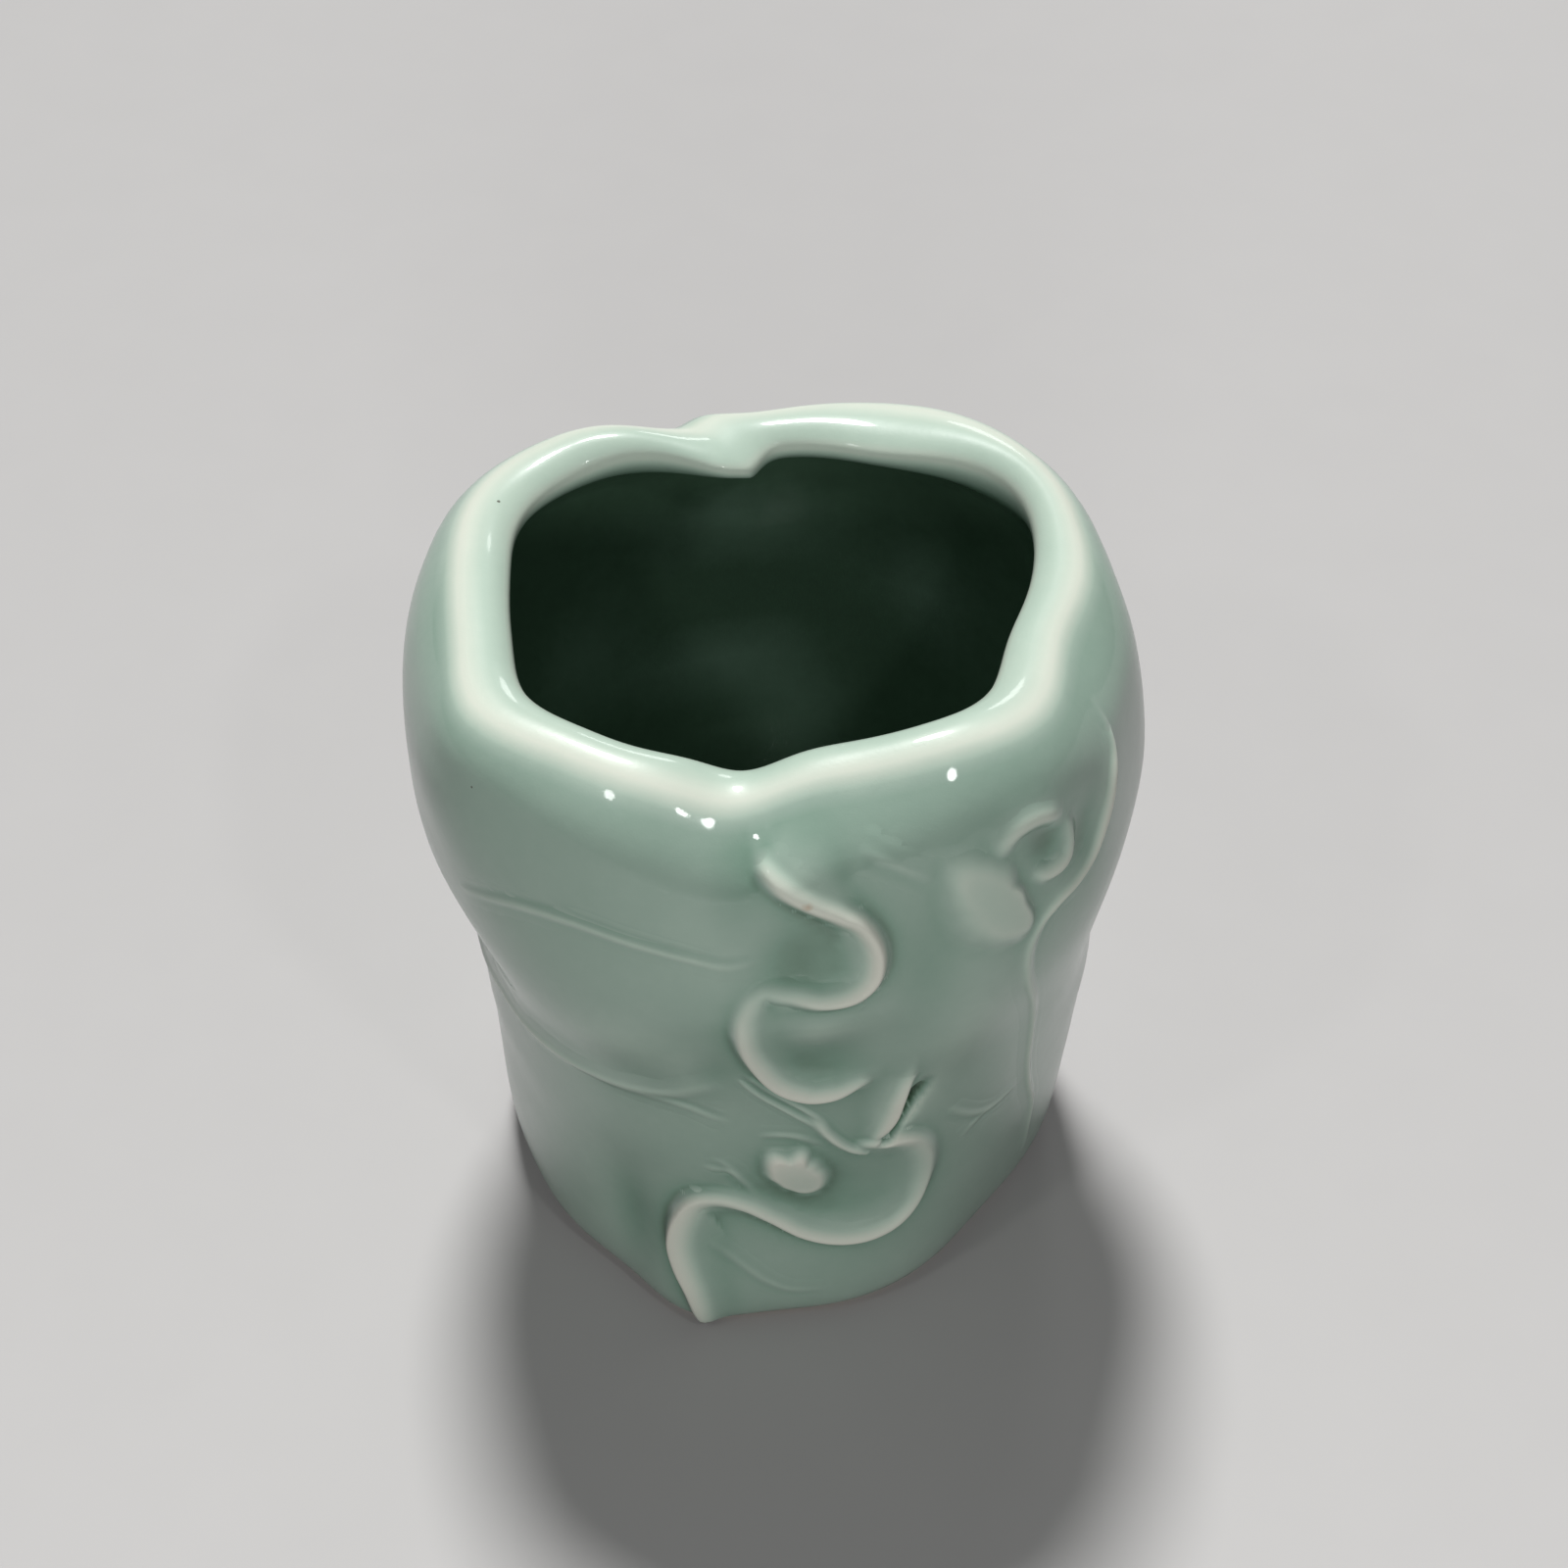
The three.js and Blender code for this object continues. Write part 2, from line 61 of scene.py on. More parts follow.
# Folds of the leaf: angle, half width, and millimetres out at the foot, hip, waist, belly,
# shoulder, lip edge and mouth edge
foldHeights = [0, 38, 60, 80, 108, 117]
folds = [
    (148, 20, (0, 0, 0, 1, 3.3, 5.1, 5.2)),
    (36, 22, (0, 0.5, 0, -0.3, -1, 2.1, 5.8)),
    (-147, 14, (0.7, -0.1, -0.5, 0, 2.1, 3.8, 3.3)),
    (-43, 13, (-1.1, 0, 0.1, 0.3, 0.8, 0.9, 0.8)),
    (-82, 24, (1.1, 0, -0.5, -1.2, -3, -5.2, -5.7)),
    (-15, 16, (0, -0.4, -0.5, -1.4, -1.9, -4, -2.4)),
    (100, 22, (0, 0, 0, -0.4, -1.5, -3.2, -1.7)),
    (180, 34, (0.3, -1.2, -3.3, -1.1, 0.4, 0, 0.2)),
    (4, 26, (1.1, 1.8, -0.5, 0.4, -0.4, -0.4, -1)),
    (-106, 13, (4.7, 0.8, 0, 0, 0, -0.3, -2.1)),
    (-78, 20, (1.3, 0.6, 0, 0, 0, -0.2, -0.2)),
    (-30, 16, (-1.3, -0.4, 0.2, 0.2, 0, 0, -1.3)),
    (-150, 14, (-1, -0.5, -0.6, -0.7, 0.2, 0.1, -0.5)),
    (-165, 20, (-1.1, -0.9, -0.8, 0, -0.4, 0, 0.4)),
    (14, 13, (0, 0, 0, 0.3, -0.9, -0.5, 0.4)),
    (60, 18, (0, 0, 0, 0, 0, 2, -1.9)),
    (-90, 60, (0, 0, 0, 0, 0, 0, 1.6)),
]

# Waves of the rim: angle, half width, rise
rimWaves = [(-98, 11, -3.3), (-52, 20, 3.2), (-135, 18, 0.7), (150, 20, -2.2), (75, 26, -2), (118, 18, -0.8),
            (96, 12, -1.4), (54, 14, 0.4), (126, 10, 1)]
rimWaveFoot, rimWaveFull = 70, 115
pleat = {"lipAt": 111, "mouthAt": 97.5, "slow": 14, "fast": 4.8, "flat": 5, "lipIn": -1.8, "mouthIn": -5.6,
         "drop": -1.6}


def bell(x):
    return np.exp(-x * x)


def hump(x):
    # Like a bell, but it ends at twice its half width
    return np.clip(1 - x * x / 4, 0, 1) ** 4


def smooth(t):
    t = np.clip(t, 0, 1)
    return t * t * (3 - 2 * t)


def mix(a, b, part):
    return a + (b - a) * part


def turned(angle):
    return (angle + 180) % 360 - 180


def lopsided(x, slow, fast, flat):
    return np.where(x > 0, bell(np.maximum(x - flat, 0) / slow), bell(x / fast))


def throughPoints(points, place):
    # A smooth curve through rows of numbers, at a place counted in rows
    rows = np.asarray(points, float)
    last = len(rows) - 1
    place = np.clip(np.asarray(place, float), 0, last)
    row = np.minimum(place.astype(int), last - 1)
    part = (place - row)[..., None]
    before, here = rows[np.maximum(row - 1, 0)], rows[row]
    after, beyond = rows[row + 1], rows[np.minimum(row + 2, last)]
    slopeHere, slopeAfter = (after - before) / 2, (beyond - here) / 2
    return ((2 * here - 2 * after + slopeHere + slopeAfter) * part ** 3
            + (-3 * here + 3 * after - 2 * slopeHere - slopeAfter) * part ** 2 + slopeHere * part + here)


def foldAmount(out, height):
    amount = out[0] + 0 * height
    for i in range(1, len(foldHeights)):
        low, high = foldHeights[i - 1], foldHeights[i]
        amount = amount + (out[i] - out[i - 1]) * smooth((height - low) / (high - low))
    return amount


def wallAt(angle, level):
    # Radius and height of the outer wall, where level counts the profile's points from the foot
    curve = throughPoints(wall["profile"], level)
    radius, height = curve[..., 0], curve[..., 1]
    lipLevel, mouthLevel = wall["lipLevel"], len(wall["profile"]) - 1
    overLip = np.clip((level - lipLevel) / (mouthLevel - lipLevel), 0, 1)
    wave = smooth((height - rimWaveFoot) / (rimWaveFull - rimWaveFoot))
    onBody = np.minimum(height, lipHeight)
    for at, wide, out in folds:
        amount = np.where(overLip > 0, mix(out[5], out[6], overLip), foldAmount(out, onBody))
        radius = radius + amount * bell(turned(angle - at) / wide)
    rise = sum(up * bell(turned(angle - at) / wide) for at, wide, up in rimWaves)
    pleatAt = mix(pleat["lipAt"], pleat["mouthAt"], overLip)
    tuck = lopsided(turned(angle - pleatAt), pleat["slow"], pleat["fast"], pleat["flat"] * overLip)
    radius = radius + tuck * wave * mix(pleat["lipIn"], pleat["mouthIn"], overLip)
    rise = rise + tuck * pleat["drop"] * (1 - overLip)
    return radius, height + rise * wave


levelTable = np.linspace(0, wall["lipLevel"], wall["levelSteps"])
heightTable = throughPoints(wall["profile"], levelTable)[:, 1]


def levelOf(height):
    return np.interp(height, heightTable, levelTable)


def polar(radius, angle, height):
    turn = np.radians(angle)
    return np.stack(np.broadcast_arrays(radius * np.cos(turn), radius * np.sin(turn), height), -1)


def outside(angle, height):
    radius, top = wallAt(angle, levelOf(height))
    return polar(radius, angle, top)


def squareTo(angle, height):
    reach = wall["slopeReach"]
    right = outside(angle + reach, height) - outside(angle - reach, height)
    up = outside(angle, height + reach) - outside(angle, height - reach)
    square = np.cross(right, up)
    return square / np.linalg.norm(square, axis=-1, keepdims=True)


# Relief: ridges along lines on the unrolled leaf. A point is an angle, a height, the crest's rise, its
# lean, how far the gentle side reaches and the crest's half width. A lean of 1 makes the left of the line
# steep, and -1 the right. A row that stops early goes on with the numbers of the row before it. crisp is
# the crest's share of the rise, and reach is how far a piece lies to each side of its line.
reliefLines = {
    "wavyMargin": {
        "crisp": 0.45, "steep": 1.3, "reach": 4.2,
        "pieces": {"wavyLeafMargin": ("wavy_leaf_margin", 0, 19)},
        "points": [
            (-93, 112.8, 0.2, -0.8, 4, 1.2), (-91.4, 110.9, 1.1, -0.95, 4.8, 1.3),
            (-88.4, 107.7, 1.8, -1, 5.6, 1.6), (-84.5, 104.6, 2.1, -0.8, 4.8, 1.8),
            (-80.6, 102.4, 2.2, -0.2, 3.9, 1.7), (-77, 100.1, 2.3, 0.6, 3.9, 1.6), (-74.8, 95.6, 2.4, 1),
            (-75.2, 90.6, 2.3, 1, 3.8), (-78.4, 87.5, 2, 0.85, 3.6, 1.5), (-83.2, 86.8, 1.5, 0.6, 3.2),
            (-88, 88.4, 0.9, 0.2, 3, 1.9), (-92, 89.2, 0.6, -0.1, 3, 2.2), (-94.5, 85.4, 0.9, -0.5, 3.4),
            (-95, 80.2, 1.5, -0.9, 3.8, 2), (-93.8, 74.2, 2, -1, 4, 1.9), (-90.4, 67.4, 2.3, -1, 3.9),
            (-85.6, 63.7, 2.3, -1, 3.6, 1.8), (-80.8, 63.1, 2, -0.9, 3.2, 1.6),
            (-77, 64.2, 1.1, -0.5, 3, 1.4), (-74.6, 65.6, 0.2, -0.2, 3, 1.2)],
    },
    "upperLeaf": {
        "crisp": 0.3, "steep": 1.6, "reach": 5.0,
        "pieces": {"backLeafMargin": ("back_leaf_margin", 0, 10),
                   "leftLeafMargin": ("left_leaf_margin", 10, 18)},
        "points": [
            (112.4, 111, 0.2, -0.5, 3.5, 1.6), (114, 105, 0.9, -0.8, 4), (117, 96, 1.2, -0.9, 4.4),
            (122.6, 86, 1.3, -0.9, 4.8), (130.6, 76), (141, 67.8), (154, 61, 1.2), (168, 56.6, 1.1),
            (182, 54.2, 1, -0.9, 4.8, 1.5), (193, 53, 0.9, -0.9, 4.8, 1.4),
            (202, 53.2, 0.85, -0.9, 4.8, 1.3), (210, 55, 0.8, -0.95, 4.6, 1.2),
            (219, 56.4, 0.8, -0.95, 4.4, 1.1), (227.6, 57.6, 0.75, -0.95, 4.2),
            (236.4, 58.2, 0.65, -0.95, 4, 1), (245, 58.8, 0.55, -0.9, 3.6),
            (251.6, 60, 0.35, -0.9, 3.2, 0.9), (257.4, 63.2, 0.2, -0.7, 3), (262, 65.2, 0.05, -0.5)],
    },
    "furlEdge": {
        "crisp": 0.45, "steep": 0.9, "reach": 4.2,
        "pieces": {"furledLeafTip": ("furled_leaf_tip", 0, 6)},
        "points": [
            (-67.4, 64.2, 0.2, 0.6, 3.6, 1.3), (-68.2, 61.2, 1.2, 0.9, 4, 1.4),
            (-69, 57.6, 1.8, 1, 4.2, 1.5), (-69.7, 54, 1.9, 1, 4), (-70.8, 51, 1.6, 1, 3.4, 1.3),
            (-72.2, 48.6, 1, 1, 2.8, 1.1), (-73.6, 46.8, 0.2, 0.8, 2.2, 1)],
    },
    "lowerLeaf": {
        "crisp": 0.4, "steep": 1.3, "reach": 4.6,
        "pieces": {"lowerLeafMargin": ("lower_leaf_margin", 0, 12),
                   "baseLeafFold": ("base_leaf_fold", 12, 21)},
        "points": [
            (-76.4, 46.2, 0.1, 0.4, 2.4, 1.1), (-73.8, 46.8, 0.9, 0.6, 2.6, 1.2),
            (-70.8, 46.5, 1.4, 0.7, 3, 1.4), (-67, 45.8, 1.4, 0.6, 3.8, 2),
            (-63.9, 43.3, 1.1, 0.5, 4.8, 2.7), (-61.9, 38.8, 1, 0.5, 5.6, 3),
            (-61.6, 33.4, 1.1, 0.6, 6, 2.8), (-63.4, 27.8, 1.5, 0.9, 6, 2.1),
            (-67.2, 24.2, 1.9, 1, 5.8, 1.7), (-72.6, 22.7, 2.1, 1, 5.4, 1.6),
            (-78.8, 23.2, 2.1, 1, 4.8, 1.5), (-85.2, 25.6, 2, 0.9, 4.2), (-91.2, 29.8, 1.8, 0.6, 3.8),
            (-95.8, 32.7, 1.6, 0.2, 3.8, 1.7), (-100.6, 34, 1.5, -0.4, 4.2, 2),
            (-105, 32.7, 1.9, -0.8, 5.2, 2.7), (-107.8, 28, 2.4, -0.95, 5.8, 3), (-108.7, 22.4, 2.7, -1),
            (-107.6, 17, 2.5, -1, 5.4, 2.8), (-105.4, 10.8, 2, -0.95, 4.6, 2.5),
            (-104, 4.8, 1.5, -0.9, 4, 2.2), (-103.4, 1.8, 1.2, -0.8, 3.6, 2)],
    },
    "rightMargin": {
        "crisp": 0.5, "steep": 0.9, "reach": 3.8,
        "pieces": {"rightMarginUpper": ("right_margin_upper", 0, 8),
                   "rightMarginLower": ("right_margin_lower", 8, 17)},
        "points": [
            (-24.6, 109.4, 0.2, 0.8, 3, 1.2), (-26.4, 106.6, 0.9, 0.9, 3.4), (-29.2, 103.6, 1.4, 0.95, 3.6),
            (-32.8, 99, 1.5, 1), (-36.4, 94.8, 1.4, 1, 3.4, 1.1), (-40.6, 92.6, 1.2, 0.9, 3, 1),
            (-45, 91.2, 1, 0.8, 2.4, 0.9), (-48.2, 88.8, 0.7, 0.6, 2, 0.8), (-49.8, 85.2, 0.5, 0.5, 1.8),
            (-49.7, 80.6, 0.45, 0.6, 1.8, 0.75), (-48, 75, 0.45, 0.7), (-45, 68.2, 0.45, 0.8),
            (-42.6, 61.4, 0.5), (-40.8, 54), (-38.8, 46.2), (-35.4, 37.2, 0.55, 0.8, 1.8, 0.8),
            (-30.8, 27.6, 0.5), (-26.6, 12, 0.1)],
    },
    "curl": {
        "crisp": 0.4, "steep": 1.3, "reach": 3.0,
        "pieces": {"sideCurl": ("side_curl", 0, 5)},
        "points": [
            (-55.8, 103.2, 0.1, -0.7, 2.8, 1.4), (-54.4, 105.2, 0.6, -0.8), (-52, 106.7, 0.9, -0.9),
            (-49, 107.1, 1), (-46, 106.5, 0.9, -0.8, 2.6, 1.3), (-43.4, 105, 0.2, -0.7, 2.4)],
    },
    "bud": {
        "crisp": 0.35, "steep": 1.2, "reach": 3.0,
        "pieces": {"sideBud": ("side_bud", 0, 6)},
        "points": [
            (-43, 105, 0.1, 0.7, 2.8, 1.3), (-41.9, 102.8, 0.6, 0.9, 3, 1.4), (-41.8, 100.4, 0.9, 1),
            (-42.8, 98.3, 1.1), (-45, 97.3), (-47.6, 97.5, 0.8, 0.9, 2.8, 1.3),
            (-50, 99.2, 0.1, 0.7, 2.6, 1.2)],
    },
}

# The stem: two edges that close to one cord. Angle, height, rise, share of the cord, half width.
stemLine = {
    "reach": 3.2, "piece": ("leafStem", "leaf_stem"),
    "edgeHalf": 0.5, "grooveShare": 0.5, "grooveHalf": 0.7, "cordShare": 0.9,
    "points": [
        (-95.4, 67.4, 0.05, 0, 0.8), (-94.4, 66.2, 0.2, 0, 0.9), (-92, 63.2, 0.24, 0, 1), (-89, 60.2, 0.27),
        (-86, 57.3, 0.36, 0.2), (-83.2, 54.3, 0.65, 0.8), (-81.1, 50.8, 0.8, 1), (-78.5, 47.5),
        (-75.8, 45.2, 0.7, 1, 0.95), (-74.2, 44.2, 0.5, 1, 0.8)],
}

# Veins: angle, height, rise. groove is 1 where a groove lies on the left of the line.
veins = {
    "upperVein": {"groove": 1, "points": [
        (-145.4, 86.2, 0.042), (-138, 90.6, 0.168), (-130, 94.2, 0.252), (-121, 96.2),
        (-111.8, 96.4, 0.218), (-103, 96.4, 0.168), (-97, 95.4, 0.101), (-92.6, 95.9, 0.017)]},
    "shoulderVein": {"groove": -1, "points": [
        (-76.6, 111, 0.012), (-73, 108.9, 0.096), (-69, 106.2), (-65.6, 103.6, 0.012)]},
    "waistVein": {"groove": 1, "points": [
        (-112.6, 57.2, 0.012), (-108.6, 57.5, 0.12), (-104.6, 56.9, 0.132), (-101, 55.4, 0.096),
        (-97.6, 54.4, 0.012)]},
    "navelVeinOver": {"groove": -1, "points": [
        (-93.4, 51.2, 0.012), (-90.4, 51.5, 0.156), (-87, 51, 0.204), (-84.6, 49.9, 0.156),
        (-82, 48, 0.012)]},
    "navelVeinLeft": {"groove": -1, "points": [
        (-103.4, 41.6, 0.012), (-100.6, 41.6, 0.156), (-97.9, 40.9, 0.192), (-95.4, 37.8, 0.156),
        (-93, 33.8, 0.012)]},
    "navelVeinBranch": {"groove": -1, "points": [
        (-100.6, 44.4, 0.012), (-98.9, 43, 0.108), (-97.4, 41.2), (-96.4, 39.8, 0.012)]},
    "rightVein": {"groove": -1, "points": [
        (-58.6, 48.6, 0.012), (-55.4, 45.4, 0.12), (-51.6, 42.4, 0.144), (-47.6, 40.9), (-43.4, 40.9, 0.12),
        (-39.6, 41.3, 0.012)]},
    "rightVeinBranch": {"groove": -1, "points": [
        (-54.6, 37.2, 0.012), (-52.4, 39.2, 0.096), (-49.6, 40.4, 0.108), (-47, 40.8, 0.012)]},
    "baseVein": {"groove": -1, "points": [
        (-102.6, 23.8, 0.012), (-98.5, 19.9, 0.084), (-95, 16.2, 0.096), (-91.2, 12.4), (-86.8, 9.9, 0.084),
        (-80, 9.2, 0.012)]},
}
veinForm = {"half": 0.75, "grooveAway": 1.3, "grooveHalf": 0.95, "grooveShare": 0.6, "reach": 3.4}

# Pads: middle, outline, rise, and how softly the edge falls, sharper towards one side
leafPads = {
    "leafNavel": {
        "node": "leaf_navel", "middle": (-86.6, 41.2), "rise": 1.5, "edge": 3.6,
        "sharpEdge": 2.8, "sharpTo": -150, "thin": 0.11,
        "outline": [
            (-90.9, 46.7), (-89.4, 47), (-87.9, 45.7), (-86.6, 46.8), (-85.2, 47.2), (-84.4, 44.6),
            (-82.2, 42), (-80.9, 38.6), (-81.7, 35.2), (-84.3, 34.3), (-87.4, 35.9), (-90, 38.6),
            (-91.7, 42.6)],
    },
    "sidePetal": {
        "node": "side_petal", "middle": (-57.2, 97), "rise": 1.1, "edge": 7,
        "sharpEdge": 1.5, "sharpTo": 0, "thin": 0,
        "outline": [
            (-62.9, 105.7), (-59.5, 105.2), (-55.7, 102.9), (-53.3, 98.8), (-51.4, 94.4), (-49.4, 90.2),
            (-50.3, 88.6), (-54.2, 89), (-58.4, 91.1), (-61.1, 93.6), (-62.6, 97.3), (-63.2, 101.6)],
    },
}

padForm = {"dome": 0.15, "sharpSpread": 70, "spokeStep": 3, "evenReach": 9, "evenWidth": 3.2}

# Hollows and swells: angle, height, half sizes in degrees and millimetres, rise
swells = [
    (-86.8, 95.5, 7.2, 7.5, -1.5), (-83.5, 80, 5, 3.5, 0.4), (-82, 72, 8, 6.5, -0.95),
    (-82, 35, 12, 9, -1.2), (-96, 108, 5, 9, -0.4), (-67, 86, 7, 13, -0.9),
    (-47, 102.6, 4, 3.6, -0.9), (-38.5, 100, 5, 7, -0.9), (-118, 22, 6, 12, -1),
    (-99.5, 68, 3.6, 5.5, -0.35), (-118, 72, 14, 8, 0.7), (-60, 70, 10, 10, 0.7)]

# Finger marks on the inner wall, pressed in as dents and painted lighter in the glaze as a painted
# reflection: angle, height, half sizes, depth
insideMarks = [
    (97, 86, 15, 5.5, 0.6), (101, 62, 18, 5, 0.7), (87, 49, 13, 6, 0.6), (60, 78, 10, 7, 0.3),
    (130, 70, 12, 8, 0.3), (-90, 60, 22, 12, 0.4), (0, 55, 20, 10, 0.4), (180, 50, 20, 10, 0.4)]

# The dark slit beside the furled tip: angle, height, depth, half width
furlSlit = {
    "points": [
        (-64.4, 59.6, 0.3, 1.4), (-66, 56.4, 1.9), (-67.4, 53, 2.6, 1.2), (-68.8, 49.8, 2.4, 1),
        (-70.4, 47.6, 1.6, 0.8), (-72, 46.4, 0.3, 0.6)],
}
perDegree = math.radians(wall["planRadius"])

# How finely the lines are walked, and how far from each kind its form is worked out
walk = {"step": 0.5, "finer": 40, "fewest": 8, "atOnce": 4000}
nearBy = {"ridge": 12, "groove": 5, "stem": 4, "vein": 3, "bed": 5}
lipFade = {"above": 0.5, "over": 4}       # relief ends softly under the lip


def alongLine(points):
    # The line at even steps on the unrolled leaf, with its numbers and its direction
    rows = []
    for point in points:
        rows.append([*point, *rows[-1][len(point):]] if rows else point)
    rows = np.array(rows, float)
    places = np.linspace(0, len(rows) - 1, walk["finer"] * len(rows))
    dense = throughPoints(rows, places)
    run = np.hypot(np.diff(dense[:, 0]) * perDegree, np.diff(dense[:, 1]))
    length = np.concatenate([[0], np.cumsum(run)])
    even = np.linspace(0, length[-1], max(walk["fewest"], int(length[-1] / walk["step"])))
    line = np.stack([np.interp(even, length, dense[:, k]) for k in range(rows.shape[1])], -1)
    ahead = np.gradient(line[:, :2], axis=0) * (perDegree, 1)
    ahead /= np.linalg.norm(ahead, axis=1, keepdims=True)
    rowLength = np.interp(range(len(rows)), places, length)
    return {"line": line, "ahead": ahead, "length": length[-1], "rowLength": rowLength}


def alongAt(spine, along):
    # A line's numbers and direction at a length along it
    even = np.linspace(0, spine["length"], len(spine["line"]))
    return [np.stack([np.interp(along, even, column) for column in spine[name].T], -1)
            for name in ("line", "ahead")]


def nearLine(spine, angle, height, reach):
    # Which points lie near a line, how far to its left and along it, and its numbers there
    line, ahead = spine["line"], spine["ahead"]
    middle = (line[:, 0].min() + line[:, 0].max()) / 2
    half = (line[:, 0].max() - line[:, 0].min()) / 2 + reach / perDegree
    near = np.abs(turned(angle - middle)) < half
    near &= (height > line[:, 1].min() - reach) & (height < line[:, 1].max() + reach)
    picked = np.nonzero(near)
    x, y = angle[picked], height[picked]
    signed, along = np.full(len(x), 1e9), np.zeros(len(x))
    for start in range(0, len(x), walk["atOnce"]):
        part = slice(start, start + walk["atOnce"])
        dx = turned(x[part, None] - line[None, :, 0]) * perDegree
        dy = y[part, None] - line[None, :, 1]
        nearest = np.argmin(dx * dx + dy * dy, axis=1)
        rows = np.arange(len(nearest))
        dx, dy = dx[rows, nearest], dy[rows, nearest]
        forward = ahead[nearest, 0] * dx + ahead[nearest, 1] * dy
        left = ahead[nearest, 0] * dy - ahead[nearest, 1] * dx
        past = ((nearest == 0) & (forward < 0)) | ((nearest == len(line) - 1) & (forward > 0))
        signed[part] = np.where(past, np.copysign(np.hypot(dx, dy), left), left)
        along[part] = nearest * spine["length"] / (len(line) - 1) + forward
    return picked, signed, along, alongAt(spine, along)[0]


def ridgeAt(line, signed, numbers):
    rise, lean, gentle = numbers[:, 2], numbers[:, 3], numbers[:, 4]
    steepness = smooth(0.5 + np.sign(signed) * lean / 2)       # 1 on the steep side, 0 on the gentle one
    broad = mix(gentle, line["steep"], steepness)
    narrow = mix(numbers[:, 5], line["steep"], steepness)
    return rise * (line["crisp"] * hump(signed / narrow) + (1 - line["crisp"]) * hump(signed / broad))


def stemAt(signed, numbers):
    rise, cord, half = numbers[:, 2], numbers[:, 3], numbers[:, 4]
    edges = hump((np.abs(signed) - half) / stemLine["edgeHalf"])
    edges = edges - stemLine["grooveShare"] * hump(signed / stemLine["grooveHalf"])
    return rise * mix(edges, hump(signed / (half * stemLine["cordShare"])), cord)


def veinAt(signed, rise, groove):
    beside = (signed - groove * veinForm["grooveAway"]) / veinForm["grooveHalf"]
    return rise * (hump(signed / veinForm["half"]) - veinForm["grooveShare"] * hump(beside))


def padPlace(pad, angle, height):
    # How far a point lies from a pad's middle, and how far the outline lies that way
    middle = pad["middle"]
    x, y = turned(angle - middle[0]) * perDegree, height - middle[1]
    corners = np.array([((a - middle[0]) * perDegree, h - middle[1]) for a, h in pad["outline"]])
    spokes = np.degrees(np.arctan2(corners[:, 1], corners[:, 0]))
    reaches = np.hypot(corners[:, 0], corners[:, 1])
    order = np.argsort(spokes)
    every = np.arange(-180, 181, padForm["spokeStep"])
    plain = np.interp(every, spokes[order], reaches[order], period=360)
    even = padForm["evenReach"]
    weights = bell(np.arange(-even, even + 1) / padForm["evenWidth"])
    closed = np.concatenate([plain[-even - 1:-1], plain, plain[1:even + 1]])
    rounded = np.convolve(closed, weights / weights.sum(), mode="valid")
    return np.hypot(x, y), np.interp(np.degrees(np.arctan2(y, x)), every, rounded)


def padAt(pad, angle, height):
    away, reach = padPlace(pad, angle, height)
    middle = pad["middle"]
    spoke = np.degrees(np.arctan2(height - middle[1], turned(angle - middle[0]) * perDegree))
    towards = bell(turned(spoke - pad["sharpTo"]) / padForm["sharpSpread"])
    edge = mix(pad["edge"], pad["sharpEdge"], towards)
    dome = 1 - padForm["dome"] * np.minimum(away / reach, 1) ** 2
    return pad["rise"] * dome * smooth(0.5 + (reach - away) / edge)


def slitAt(angle, height):
    depth = np.zeros(angle.shape)
    picked, signed, along, numbers = nearLine(furlSlit["spine"], angle, height, nearBy["groove"])
    depth[picked] = numbers[:, 2] * hump(signed / numbers[:, 3])
    return depth


def spotsAt(spots, angle, height):
    return sum(rise * bell(turned(angle - at) / wide) * bell((height - high) / tall)
               for at, high, wide, tall, rise in spots)


def reliefAt(angle, height, fine=True):
    # How far the surface stands off the plain wall. Ridges that meet merge.
    angle, height = np.broadcast_arrays(np.asarray(angle, float), np.asarray(height, float))
    form, ridges = spotsAt(swells, angle, height), np.zeros(angle.shape)
    for line in reliefLines.values():
        picked, signed, along, numbers = nearLine(line["spine"], angle, height, nearBy["ridge"])
        ridges[picked] += np.maximum(ridgeAt(line, signed, numbers), 0) ** 4
    for pad in leafPads.values():
        ridges += padAt(pad, angle, height) ** 4
    form += ridges ** 0.25
    form -= slitAt(angle, height)
    if fine:
        picked, signed, along, numbers = nearLine(stemLine["spine"], angle, height, nearBy["stem"])
        form[picked] += stemAt(signed, numbers)
        for vein in veins.values():
            picked, signed, along, numbers = nearLine(vein["spine"], angle, height, nearBy["vein"])
            form[picked] += veinAt(signed, numbers[:, 2], vein["groove"])
    return form * smooth((lipHeight + lipFade["above"] - height) / lipFade["over"])


bends = {"around": 5, "even": 6, "share": 0.7}


def stripSpread(spine, reach):
    # How far a strip may lie to each side of its line before a tight bend would fold it
    ahead = spine["ahead"]
    step = spine["length"] / (len(ahead) - 1)
    turn = np.gradient(np.unwrap(np.arctan2(ahead[:, 1], ahead[:, 0]))) / step
    around, even = bends["around"], bends["even"]
    spreads = []
    for bend in (turn, -turn):          # a left bend narrows the left side
        padded = np.pad(bend, around, mode="edge")
        tightest = np.max([np.roll(padded, k)[around:-around] for k in range(-around, around + 1)], axis=0)
        room = np.pad(np.minimum(reach, bends["share"] / np.maximum(tightest, 1e-6)), even, mode="edge")
        spreads.append(np.convolve(room, np.ones(2 * even + 1) / (2 * even + 1), mode="valid"))
    return spreads


def spreadAt(line, along, signed):
    even = np.linspace(0, line["spine"]["length"], len(line["spine"]["line"]))
    left, right = [np.interp(along, even, spread) for spread in line["spreads"]]
    return np.where(signed > 0, left, right)


lines = [*reliefLines.values(), stemLine, *veins.values()]
for line in lines:
    line["spine"] = alongLine(line["points"])
    line["spreads"] = stripSpread(line["spine"], line.get("reach", veinForm["reach"]))
furlSlit["spine"] = alongLine(furlSlit["points"])

